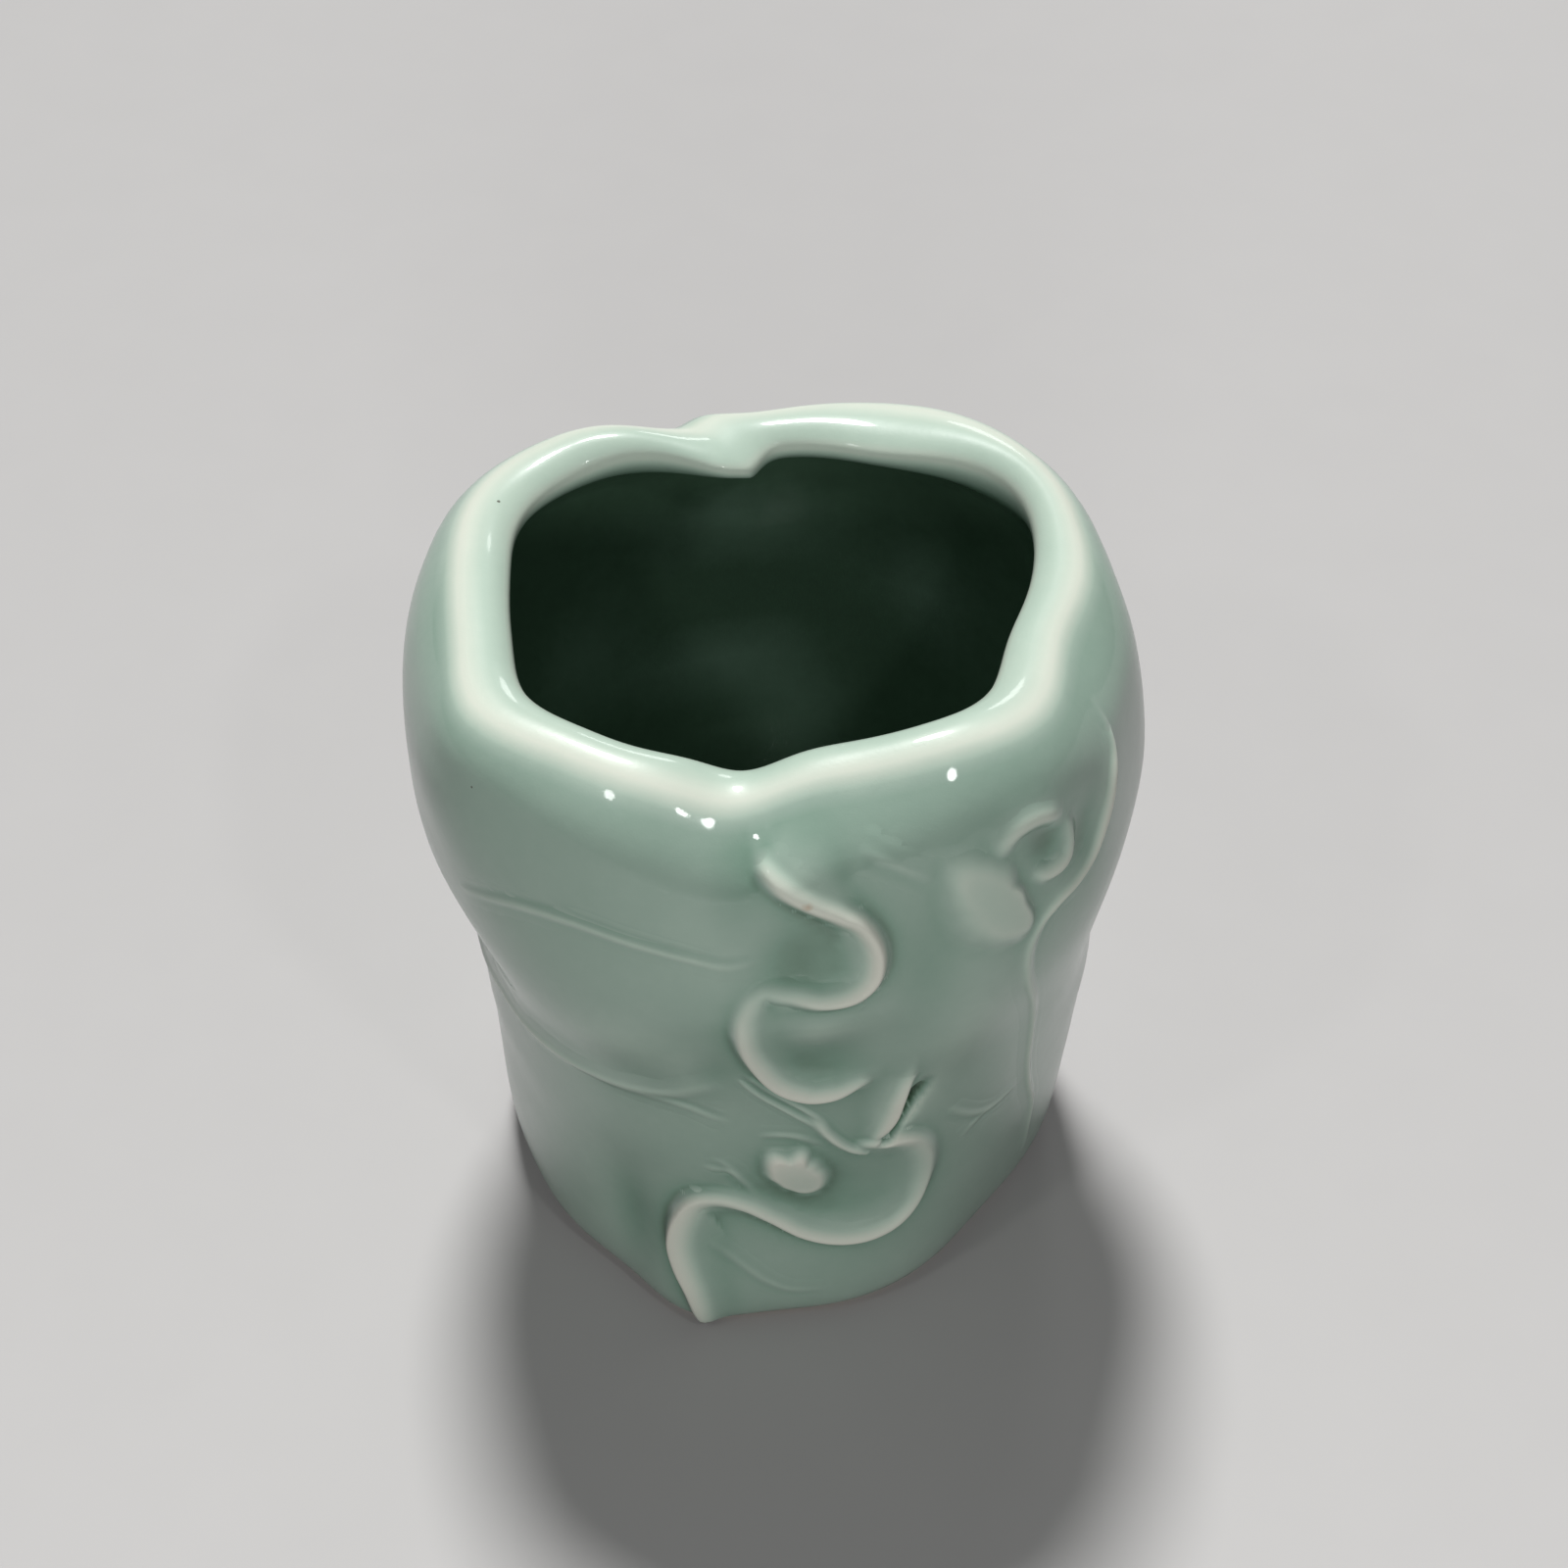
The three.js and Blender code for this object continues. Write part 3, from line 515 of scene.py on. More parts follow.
# The wall lies back under the luted pieces, so that they seat in it, and their edges dip below it
luting = {
    "bed": 0.3, "veinBed": 0.2, "bedShare": 0.62, "fall": 1.0, "endBare": 1.2, "endFade": 1.5, "padBed": 0.8,
    "dip": -0.03, "edge": 0.42, "tipFade": 1.6, "padEdge": 0.25, "sunk": 0.8, "join": 1.6, "padMargin": 2.4,
    "lift": 0.014, "marginLift": 0.002, "veinLift": 0.001, "padLift": 0.004,
}

# A place on the wall's section: 0 to 13 are the profile's points, 13 to 14 the underside of the lip,
# 14 to 15 the inner wall
mouthPlace, innerPlace, lastPlace = 13, 14, 15


def insideMark(angle, where):
    # How deep the finger marks lie at a place of the section
    height = mix(wall["underLip"], wall["foot"], where - innerPlace)
    return spotsAt(insideMarks, angle, height) * (where > innerPlace)


def bedAt(angle, height):
    bed = np.zeros(np.shape(angle))
    for line in lines:
        deep = luting["veinBed" if "groove" in line else "bed"]
        picked, signed, along, numbers = nearLine(line["spine"], angle, height, nearBy["bed"])
        reach = spreadAt(line, along, signed)
        fromEnd = line["spine"]["length"] - luting["endBare"] - along
        ends = smooth((along - luting["endBare"]) / luting["endFade"]) * smooth(fromEnd / luting["endFade"])
        inner = smooth((reach * luting["bedShare"] - np.abs(signed)) / luting["fall"])
        bed[picked] = np.maximum(bed[picked], ends * inner * deep)
    for pad in leafPads.values():
        away, reach = padPlace(pad, angle, height)
        bed = np.maximum(bed, smooth((reach + luting["padBed"] - away) / luting["fall"]) * luting["bed"])
    return bed


def place(points):
    # Millimetres round the pot's axis to metres in the frame
    return (points + np.array([wall["axis"][0], wall["axis"][1], 0])) * millimetre


def sectionAt(angle, where):
    angle, where = np.broadcast_arrays(np.asarray(angle, float), np.asarray(where, float))
    radius, height = wallAt(angle, np.minimum(where, mouthPlace))
    inner = wallAt(angle, levelOf(wall["underLip"]))[0] - wall["thickness"]
    part = np.clip(where - mouthPlace, 0, 1)
    under = mix(radius, inner, smooth(part)) - wall["bulge"] * np.sin(math.pi * part) * (1 - part)
    underHeight = mix(height, wall["underLip"], part)
    drawn = mix(wall["underLip"], wall["foot"], np.clip(where - innerPlace, 0, 1))
    inside = wallAt(angle, levelOf(drawn))[0] - wall["thickness"]
    radius = np.where(where > innerPlace, inside, np.where(where > mouthPlace, under, radius))
    height = np.where(where > innerPlace, drawn, np.where(where > mouthPlace, underHeight, height))
    return radius, height


# Length along the section, for even rings and for the glaze
sectionPlaces = np.linspace(0, lastPlace, wall["sectionSteps"])
plainRadius, plainHeight = sectionAt(wall["plainestAt"], sectionPlaces)
sectionLength = np.concatenate([[0], np.cumsum(np.hypot(np.diff(plainRadius), np.diff(plainHeight)))])


def lengthAt(where):
    return np.interp(where, sectionPlaces, sectionLength)


def placeAtLength(length):
    return np.interp(length, sectionLength, sectionPlaces)


# The glaze lies thin on crests and the lip's edge, and gathers in hollows and beside ridges. The map also
# holds painted shade inside the pot, under the lip and in the furl's slit, and painted reflections over the
# inner finger marks. 0 is bare, 0.5 the usual coat, 1 a deep pool.
glazeCoat = {
    "fine": 0.8, "fineGain": 0.45,       # how far the glaze runs, in millimetres, and how much it shows
    "middle": 2.2, "middleGain": 0.22,
    "wide": 5.5, "wideGain": 0.17,
    "thinMost": 0.46, "poolMost": 0.42, "poolMore": 1.15, "slitPoolAndShade": 0.1,
    "lipThin": 0.34, "lipAt": 10.3, "lipWide": 2.1,
    "mouthThin": 0.16, "mouthAt": 12.85, "mouthWide": 0.9,
    "lipTop": 0.11, "shoulderPoolAndShade": -0.08, "shoulderWide": 9.0,
    "topFade": 2, "topPast": 0.3, "topEnd": 0.8,
    "insidePoolAndShade": 0.37, "insideFade": 0.8, "insideMarkSheen": 0.24, "footPool": 0.06, "footWide": 3.5,
    "step": 0.45, "turn": 0.45,          # the map's grid, in millimetres and degrees
}
glazeAngles = np.arange(-180, 180, glazeCoat["turn"])
glazeLengths = np.arange(0, sectionLength[-1], glazeCoat["step"])


def blurred(field, spread):
    # Even blur over a grid of lengths by angles, closed round the pot
    result = field
    for axis, step in ((1, glazeCoat["turn"] * perDegree), (0, glazeCoat["step"])):
        reach = int(3 * spread / step)
        weights = np.exp(-0.5 * (np.arange(-reach, reach + 1) * step / spread) ** 2)
        weights /= weights.sum()
        if axis == 1:
            result = sum(w * np.roll(result, k - reach, axis=1) for k, w in enumerate(weights))
        else:
            padded = np.pad(result, ((reach, reach), (0, 0)), mode="edge")
            result = sum(w * padded[k:k + len(result)] for k, w in enumerate(weights))
    return result


def glazeAndLightMap():
    coat, where = glazeCoat, placeAtLength(glazeLengths)
    onBody = where < wall["lipLevel"]
    drawn = throughPoints(wall["profile"], where[onBody])[:, 1]
    grid, up = np.meshgrid(glazeAngles, drawn)
    form = np.zeros((len(where), len(glazeAngles)))
    form[onBody] = reliefAt(grid, up)
    gathered = 0
    for name in ("fine", "middle", "wide"):
        gathered = gathered + (blurred(form, coat[name]) - form) * coat[name + "Gain"]
    thin, pool = coat["thinMost"], coat["poolMost"]
    pooled = pool * np.tanh(gathered * coat["poolMore"] / pool)
    gathered = np.where(gathered < 0, -thin * np.tanh(-gathered / thin), pooled)
    for pad in leafPads.values():
        gathered[onBody] -= pad["thin"] * padAt(pad, grid, up)
    # Painted shade: the slit beside the furled tip is coloured deeper, partly glaze pooled in it and partly
    # painted shade
    gathered[onBody] += slitAt(grid, up) * coat["slitPoolAndShade"]
    fromEdge = glazeLengths - lengthAt(coat["lipAt"])
    edge = bell(fromEdge / coat["lipWide"]) * coat["lipThin"]
    fromMouth = glazeLengths - lengthAt(coat["mouthAt"])
    edge += bell(fromMouth / coat["mouthWide"]) * coat["mouthThin"]
    pastTop = smooth((where - mouthPlace + coat["topPast"]) / coat["topEnd"])
    top = smooth(fromEdge / coat["topFade"]) * (1 - pastTop) * coat["lipTop"]
    # Painted shade: a broad band under the lip is coloured deeper, partly glaze gathered under the lip and
    # partly painted shade
    under = np.where(fromEdge < 0, bell(fromEdge / coat["shoulderWide"]), 0) * coat["shoulderPoolAndShade"]
    # Painted shade: the inside of the pot is coloured as a deep pool, partly thick glaze and partly painted
    # shade
    inside = smooth((where - mouthPlace) / coat["insideFade"]) * coat["insidePoolAndShade"]
    foot = bell(glazeLengths / coat["footWide"]) * coat["footPool"]
    # Painted reflection: the finger marks on the inner wall are coloured lighter
    markSheen = insideMark(glazeAngles[None, :], where[:, None]) * coat["insideMarkSheen"]
    return 0.5 + gathered + (inside + foot - edge - top - under)[:, None] - markSheen


glazeAndLightField = glazeAndLightMap()
print("pot: glaze map", glazeAndLightField.shape, "from", glazeAndLightField.min().round(2), "to", glazeAndLightField.max().round(2))


def glazeAt(angle, where):
    column = (turned(angle) + 180) / glazeCoat["turn"]
    row = lengthAt(where) / glazeCoat["step"]
    left, low = np.floor(column).astype(int), np.clip(np.floor(row).astype(int), 0, len(glazeLengths) - 2)
    across, up = column - left, np.clip(row - low, 0, 1)
    left, right = left % len(glazeAngles), (left + 1) % len(glazeAngles)
    below = mix(glazeAndLightField[low, left], glazeAndLightField[low, right], across)
    above = mix(glazeAndLightField[low + 1, left], glazeAndLightField[low + 1, right], across)
    return mix(below, above, up)


def pointsOf(piece):
    flat = np.empty(len(piece.data.vertices) * 3)
    piece.data.vertices.foreach_get("co", flat)
    return flat.reshape(-1, 3)


def setPoints(piece, points):
    piece.data.vertices.foreach_set("co", np.ascontiguousarray(points, float).ravel())
    piece.data.update()


def setGlaze(piece, values):
    layer = piece.data.attributes.new("glazeDepth", "FLOAT", "POINT")
    layer.data.foreach_set("value", np.ascontiguousarray(values, float).ravel())


def started(name):
    piece = bpy.context.object
    piece.name = piece.data.name = name
    return piece


def editSelected(piece, wanted, edges=False):
    # Enters edit mode with the points, or the edges, that wanted picks by their places
    bpy.ops.object.mode_set(mode="EDIT")
    bpy.ops.mesh.select_mode(type="EDGE" if edges else "VERT")
    bpy.ops.mesh.select_all(action="DESELECT")
    bpy.ops.object.mode_set(mode="OBJECT")
    points = pointsOf(piece)
    if edges:
        ends = np.empty(len(piece.data.edges) * 2, dtype=np.int32)
        piece.data.edges.foreach_get("vertices", ends)
        ends = ends.reshape(-1, 2)
        piece.data.edges.foreach_set("select", wanted(points[ends[:, 0]], points[ends[:, 1]]))
    else:
        piece.data.vertices.foreach_set("select", wanted(points))
    bpy.ops.object.mode_set(mode="EDIT")


def layOn(piece, angle, height, form):
    # Puts a piece's points on the wall, and takes their glaze from the wall's map
    setPoints(piece, place(outside(angle, height) + squareTo(angle, height) * form[:, None]))
    setGlaze(piece, glazeAt(angle, levelOf(height)))


def turnOutwards():
    bpy.ops.object.mode_set(mode="EDIT")
    bpy.ops.mesh.select_all(action="SELECT")
    bpy.ops.mesh.normals_make_consistent(inside=False)
    bpy.ops.object.mode_set(mode="OBJECT")


def bridgeEnds():
    # Joins the two open edges of a tube
    bpy.ops.object.mode_set(mode="EDIT")
    bpy.ops.mesh.select_mode(type="EDGE")
    bpy.ops.mesh.select_all(action="DESELECT")
    bpy.ops.mesh.select_non_manifold()
    bpy.ops.mesh.bridge_edge_loops()
    turnOutwards()


def finished(piece, node, material, angle=75):
    # Edges that turn by more than angle stay sharp
    bpy.ops.object.shade_smooth_by_angle(angle=math.radians(angle))
    piece.data.materials.append(material)
    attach(piece, "root")
    if node:
        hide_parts(node)
    piece.select_set(False)
    low, high = pointsOf(piece).min(0) / millimetre, pointsOf(piece).max(0) / millimetre
    print("pot:", piece.name, len(piece.data.polygons), "faces", low.round(1), high.round(1))


# Shader maths: a wrapped socket, so that 1 - mask adds its own Math node
class Value:
    def __init__(self, shader, socket):
        self.shader, self.socket = shader, socket

    def math(self, operation, first, second=0.0):
        return self.shader.node("ShaderNodeMath", {"operation": operation}, {0: first, 1: second})

    def __lt__(self, other):
        return self.math("LESS_THAN", self, other)

    def __gt__(self, other):
        return self.math("GREATER_THAN", self, other)


def overload(sign, operation):
    setattr(Value, f"__{sign}__", lambda self, other: self.math(operation, self, other))
    setattr(Value, f"__r{sign}__", lambda self, other: self.math(operation, other, self))


overload("add", "ADD")
overload("sub", "SUBTRACT")
overload("mul", "MULTIPLY")


class Shader:
    def __init__(self, owner, surface="Principled BSDF"):
        self.owner, owner.use_nodes = owner, True
        self.tree = owner.node_tree
        self.surface = self.tree.nodes[surface]

    def node(self, kind, settings=None, values=None, output=0):
        made = self.tree.nodes.new(kind)
        for name, setting in (settings or {}).items():
            if name == "stops":
                ramp = made.color_ramp
                while len(ramp.elements) < len(setting):
                    ramp.elements.new(0.5)
                for element, (position, colour) in zip(ramp.elements, setting):
                    element.position, element.color = position, (*colour, 1)
            else:
                setattr(made, name, setting)
        self.fill(made, values or {})
        return Value(self, made.outputs[output])

    def place(self):
        return self.node("ShaderNodeTexCoord", output=3)

    def noise(self, here, scale, detail, roughness=0.5):
        values = {"Vector": here, "Scale": scale, "Detail": detail, "Roughness": roughness}
        return self.node("ShaderNodeTexNoise", {}, values)

    def blend(self, share, low, high):
        return self.node("ShaderNodeMix", {"data_type": "RGBA"}, {0: share, 6: low, 7: high}, 2)

    def ranged(self, value, low, high, first, last):
        return self.node("ShaderNodeMapRange", {}, {0: value, 1: low, 2: high, 3: first, 4: last})

    def bump(self, height, strength, distance):
        return self.node("ShaderNodeBump", {}, {"Strength": strength, "Distance": distance, "Height": height})

    def fill(self, made, values):
        for name, value in values.items():
            socket = made.inputs[name]
            if isinstance(value, Value):
                self.tree.links.new(value.socket, socket)
            elif socket.type == "RGBA":
                socket.default_value = (*value, 1)
            else:
                socket.default_value = value

    def finish(self, **values):
        self.fill(self.surface, {name.replace("_", " "): value for name, value in values.items()})
        return self.owner


# Noises are given as scale, detail and roughness, and lengths on the surface in metres
celadon = {
    # The darkest coats also colour the painted shade inside the pot
    "coats": [   # how deep the glaze lies, from the bare body to the deepest pool, and its colour there
        (0, (0.74, 0.72, 0.63)), (0.2, (0.60, 0.66, 0.565)), (0.38, (0.44, 0.55, 0.46)),
        (0.5, (0.325, 0.435, 0.36)), (0.66, (0.215, 0.335, 0.26)), (0.86, (0.075, 0.14, 0.09)),
        (1, (0.028, 0.055, 0.032))],
    "clouds": (38, 3, 0.5), "cloudShare": 0.14, "grain": (420, 2, 0.6), "grainShare": 0.035,
    "speck": (0.05, 0.035, 0.02), "speckScale": 95, "speckWidth": 0.028, "speckFrom": 0.86, "speckShare": 0.8,
    "stain": (0.42, 0.27, 0.14), "stainAt": (-85.1, 105.4), "stainRise": 2, "stainWide": 0.001,
    "stainRagged": 0.0018, "stainShare": 0.6,
    "ripple": (520, 2, 0.55), "bubbles": (3400, 1), "bubbleShare": 0.5, "bump": (0.4, 0.00006),
    "rough": 0.36, "roughClouds": 0.1, "specular": 0.2, "index": 1.5,
}


def celadonGlaze(name, coatRoughness):
    shader = Shader(bpy.data.materials.new(name))
    here = shader.place()
    depth = shader.node("ShaderNodeAttribute", {"attribute_name": "glazeDepth"}, output=2)
    clouds, grain = shader.noise(here, *celadon["clouds"]), shader.noise(here, *celadon["grain"])
    deep = depth + (clouds - 0.5) * celadon["cloudShare"] + (grain - 0.5) * celadon["grainShare"]
    colour = shader.node("ShaderNodeValToRGB", {"stops": celadon["coats"]}, {"Fac": deep})

    # Sparse iron specks, a fraction of a millimetre wide
    cells, lot = [shader.node("ShaderNodeTexVoronoi", {"feature": "F1"},
                              {"Vector": here, "Scale": celadon["speckScale"], "Randomness": 1.0}, output)
                  for output in (0, 1)]
    pick = shader.node("ShaderNodeSeparateColor", {}, {0: lot})
    specks = (cells < celadon["speckWidth"] * pick) * (pick > celadon["speckFrom"])
    speckled = shader.blend(specks * celadon["speckShare"], colour, celadon["speck"])

    # One small kiln stain on the crest of the wavy margin
    angle, height = celadon["stainAt"]
    spot = place(outside(angle, height) + squareTo(angle, height) * celadon["stainRise"])
    away = shader.node("ShaderNodeVectorMath", {"operation": "DISTANCE"}, {0: here, 1: tuple(spot)}, 1)
    ragged = away + (grain - 0.5) * celadon["stainRagged"]
    stain = shader.ranged(ragged, 0.0, celadon["stainWide"], celadon["stainShare"], 0.0)
    stained = shader.blend(stain, speckled, celadon["stain"])

    ripple, bubbles = shader.noise(here, *celadon["ripple"]), shader.noise(here, *celadon["bubbles"])
    skin = shader.bump(ripple + bubbles * celadon["bubbleShare"], *celadon["bump"])
    rough = celadon["rough"] + (clouds - 0.5) * celadon["roughClouds"]

    # The deeper the glaze lies, the more it shines
    return shader.finish(Base_Color=stained, Roughness=rough, Normal=skin, IOR=celadon["index"],
                         Specular_IOR_Level=celadon["specular"], Coat_Weight=deep,
                         Coat_Roughness=coatRoughness, Coat_IOR=celadon["index"])


bisque = {
    "clouds": (60, 4), "grain": (1500, 2), "bump": (0.5, 0.00012), "rough": 0.82,
    "flashed": (0.55, 0.42, 0.30), "burnt": (0.34, 0.17, 0.09), "dust": (0.66, 0.56, 0.44), "dustShare": 0.4,
    "flashFrom": 0.0003, "flashTo": 0.0013, "flashRagged": 0.0009,
}


def bareBiscuit():
    shader = Shader(bpy.data.materials.new("bareBiscuit"))
    here = shader.place()
    clouds, grain = shader.noise(here, *bisque["clouds"]), shader.noise(here, *bisque["grain"])
    up = shader.node("ShaderNodeSeparateXYZ", {}, {0: here}, 2)
    ragged = up + (clouds - 0.5) * bisque["flashRagged"]
    flash = shader.ranged(ragged, bisque["flashFrom"], bisque["flashTo"], 0.0, 1.0)
    warm = shader.blend(flash, bisque["flashed"], bisque["burnt"])
    dusted = shader.blend(grain * bisque["dustShare"], warm, bisque["dust"])
    tooth = shader.bump(grain, *bisque["bump"])
    return shader.finish(Base_Color=dusted, Roughness=bisque["rough"], Normal=tooth)


# The glaze in the bottom of the pot is duller, so that it throws no glints on the inner wall
glazed, biscuit = celadonGlaze("celadonGlaze", 0.05), bareBiscuit()
bottomGlaze = celadonGlaze("bottomGlaze", 0.35)
bpy.ops.object.select_all(action="DESELECT")

# The wall: an open tube, ringed, then laid along the section
wallMesh = {
    "columns": [(-150, -12, 300), (-12, 84, 60), (84, 124, 92), (124, 210, 60)],     # angles, how many
    "rings": [(0, 10, 134), (10, 13, 22), (13, 14, 20), (14, 14.62, 15), (14.62, 15, 3)],  # places
    "roundFrom": 11.4, "roundTo": 14.4, "roundFade": 0.6, "roundShare": 0.5, "roundPasses": 12,
}


def roundedOver(radius, height, places):
    # Evens out the section round the mouth's edge, where its parts meet in corners
    share = smooth((places - wallMesh["roundFrom"]) / wallMesh["roundFade"])
    share = share * smooth((wallMesh["roundTo"] - places) / wallMesh["roundFade"])
    share = share[:, None] * wallMesh["roundShare"]
    for _ in range(wallMesh["roundPasses"]):
        for field in (radius, height):
            even = (np.roll(field, 1, axis=0) + np.roll(field, -1, axis=0)) / 2
            field += (even - field) * share


def spaced(spans):
    return [np.linspace(low, high, count, endpoint=False) for low, high, count in spans]


def bodyWall():
    angles = np.concatenate(spaced(wallMesh["columns"]))
    lengths = spaced([(lengthAt(low), lengthAt(high), count) for low, high, count in wallMesh["rings"]])
    places = placeAtLength(np.concatenate([*lengths, [lengthAt(lastPlace)]]))
    columns, rings = len(angles), len(places)
    bpy.ops.mesh.primitive_cylinder_add(vertices=columns, radius=1, depth=2, end_fill_type="NOTHING")
    piece = started("bodyWall")
    editSelected(piece, lambda a, b: np.abs(a[:, 2] - b[:, 2]) > 1, edges=True)
    bpy.ops.mesh.subdivide(number_cuts=rings - 2)
    bpy.ops.object.mode_set(mode="OBJECT")

    blank = pointsOf(piece)
    turn = np.degrees(np.arctan2(blank[:, 1], blank[:, 0])) % 360
    column = np.round(turn / 360 * columns).astype(int) % columns
    ring = np.round((blank[:, 2] + 1) / 2 * (rings - 1)).astype(int)
    radius, height = sectionAt(angles[None, :], places[:, None])
    radius, height = np.array(radius), np.array(height)
    roundedOver(radius, height, places)
    radius += insideMark(angles[None, :], places[:, None])
    angle, where = angles[column], places[ring]
    points = polar(radius[ring, column], angle, height[ring, column])
    carved = where < wall["lipLevel"]
    angle, drawn = angle[carved], throughPoints(wall["profile"], where[carved])[:, 1]
    lift = reliefAt(angle, drawn, fine=False) - bedAt(angle, drawn)
    points[carved] += squareTo(angle, drawn) * lift[:, None]
    setPoints(piece, place(points))
    setGlaze(piece, glazeAt(angles[column], where))
    bridgeEnds()
    finished(piece, "body_wall", glazed)


bodyWall()

floorSlab = {
    "thickness": 7.5, "dish": 1.2, "seam": 0.3, "spokes": 256, "rings": 40,
    "throwing": 0.12, "throwingTurns": 60, "throwingTo": 0.9,      # the rings that throwing leaves
    "pool": 0.84, "edgePoolAndShade": 0.06, "edgeAt": 0.95, "edgeWide": 0.1, "sharp": 40,
}


def floorDisc():
    bpy.ops.mesh.primitive_cylinder_add(vertices=floorSlab["spokes"], radius=1, depth=2, end_fill_type="NGON")
    piece = started("floorDisc")
    editSelected(piece, lambda p: p[:, 2] > 0)
    for i in range(floorSlab["rings"]):
        bpy.ops.mesh.inset(thickness=1 / (floorSlab["rings"] + 1), depth=0)
    bpy.ops.mesh.poke()
    bpy.ops.object.mode_set(mode="OBJECT")
    blank = pointsOf(piece)
    share = np.hypot(blank[:, 0], blank[:, 1])
    angle = np.degrees(np.arctan2(blank[:, 1], blank[:, 0]))
    reach = wallAt(angle, levelOf(wall["foot"] + 0 * angle))[0] - wall["thickness"] - floorSlab["seam"]
    top = wall["foot"] + floorSlab["thickness"]
    thrown = np.sin(share * floorSlab["throwingTurns"] + np.radians(angle))
    thrown = thrown * (share < floorSlab["throwingTo"])
    sunk = floorSlab["dish"] * (1 - smooth(share)) + floorSlab["throwing"] * thrown
    height = np.where(blank[:, 2] > 0, top - sunk, wall["foot"])
    setPoints(piece, place(polar(share * reach, angle, height)))
    edge = bell((share - floorSlab["edgeAt"]) / floorSlab["edgeWide"])
    # Painted shade: the floor in the bottom of the pot is coloured as a deep pool, darker still at its edge,
    # partly pooled glaze and partly painted shade
    setGlaze(piece, floorSlab["pool"] + floorSlab["edgePoolAndShade"] * edge)
    turnOutwards()
    finished(piece, "floor_disc", bottomGlaze, floorSlab["sharp"])


floorDisc()

ringFoot = {
    "height": 1.2, "width": 7, "inset": 0.9, "chamfer": 0.4, "chamferSteps": 4, "chamferFrom": 50,
    "spokes": 360, "sharp": 40,
}


def footRing():
    # A flat hoop, drawn up, then rounded along its four edges and laid under the wall's outline
    outer, width = wall["profile"][0][0], ringFoot["width"]
    bpy.ops.mesh.primitive_circle_add(vertices=ringFoot["spokes"], radius=outer)
    piece = started("footRing")
    bpy.ops.object.mode_set(mode="EDIT")
    bpy.ops.mesh.select_all(action="SELECT")
    bpy.ops.mesh.extrude_region_move(TRANSFORM_OT_translate={"value": (0, 0, ringFoot["height"])})
    bpy.ops.mesh.extrude_region()
    bpy.ops.transform.resize(value=((outer - width) / outer, (outer - width) / outer, 1))
    bpy.ops.mesh.extrude_region_move(TRANSFORM_OT_translate={"value": (0, 0, -ringFoot["height"])})
    bridgeEnds()
    rounding = piece.modifiers.new("rounding", "BEVEL")
    rounding.width, rounding.segments = ringFoot["chamfer"], ringFoot["chamferSteps"]
    rounding.limit_method, rounding.angle_limit = "ANGLE", math.radians(ringFoot["chamferFrom"])
    bpy.ops.object.modifier_apply(modifier=rounding.name)
    blank = pointsOf(piece)
    angle = np.degrees(np.arctan2(blank[:, 1], blank[:, 0]))
    edge = wallAt(angle, 0 * angle)[0] - ringFoot["inset"]
    setPoints(piece, place(polar(np.hypot(blank[:, 0], blank[:, 1]) - outer + edge, angle, blank[:, 2])))
    finished(piece, "foot_ring", biscuit, ringFoot["sharp"])


footRing()

# A strip's grid: how many rows lie across it, and the step along it
stripGrids = {"margin": (46, 0.35), "stem": (44, 0.25), "vein": (36, 0.3)}


def layStrip(name, node, line, low, high, grid, lift):
    # A flat grid laid along the line between two of its lengths, given a back inside the wall
    spine, (across, step) = line["spine"], stripGrids[grid]
    bpy.ops.mesh.primitive_grid_add(x_subdivisions=int((high - low) / step), y_subdivisions=across, size=2)
    piece = started(name)
    blank = pointsOf(piece)
    along = low + (blank[:, 0] + 1) / 2 * (high - low)
    numbers, ahead = alongAt(spine, along)
    side = blank[:, 1] * spreadAt(line, along, blank[:, 1])
    angle = numbers[:, 0] - ahead[:, 1] * side / perDegree
    height = np.maximum(numbers[:, 1] + ahead[:, 0] * side, wall["foot"])
    ends = smooth((along - low) / luting["tipFade"])
    if high >= spine["length"] - 1e-6:
        ends = ends * smooth((high - along) / luting["tipFade"])
    inner = smooth((1 - np.abs(blank[:, 1])) / luting["edge"])
    layOn(piece, angle, height, reliefAt(angle, height) + mix(luting["dip"], lift, inner * ends))
    back = piece.modifiers.new("back", "SOLIDIFY")
    back.thickness, back.offset = luting["sunk"] * millimetre, -1
    bpy.ops.object.modifier_apply(modifier=back.name)
    turnOutwards()
    finished(piece, node, glazed)


padBall = {"segments": 160, "rings": 96}


def layPad(name, pad, lift):
    # A ball, pressed flat on the wall: its upper half is the pad's top and its lower half its back
    bpy.ops.mesh.primitive_uv_sphere_add(segments=padBall["segments"], ring_count=padBall["rings"], radius=1)
    piece = started(name)
    blank = pointsOf(piece)
    share = np.arcsin(np.clip(np.hypot(blank[:, 0], blank[:, 1]), 0, 1)) * 2 / math.pi
    spoke = np.degrees(np.arctan2(blank[:, 1], blank[:, 0]))
    middle, (east, north, _) = pad["middle"], polar(1, spoke, 0).T
    outline = padPlace(pad, middle[0] + east / perDegree, middle[1] + north)[1]
    away = share * (outline + luting["padMargin"])
    angle, height = middle[0] + away * east / perDegree, middle[1] + away * north
    out = mix(luting["dip"], lift, smooth((1 - share) / luting["padEdge"]))
    out = np.where(blank[:, 2] >= -1e-6, out, -luting["sunk"])
    layOn(piece, angle, height, reliefAt(angle, height) + out)
    turnOutwards()
    finished(piece, pad["node"], glazed)


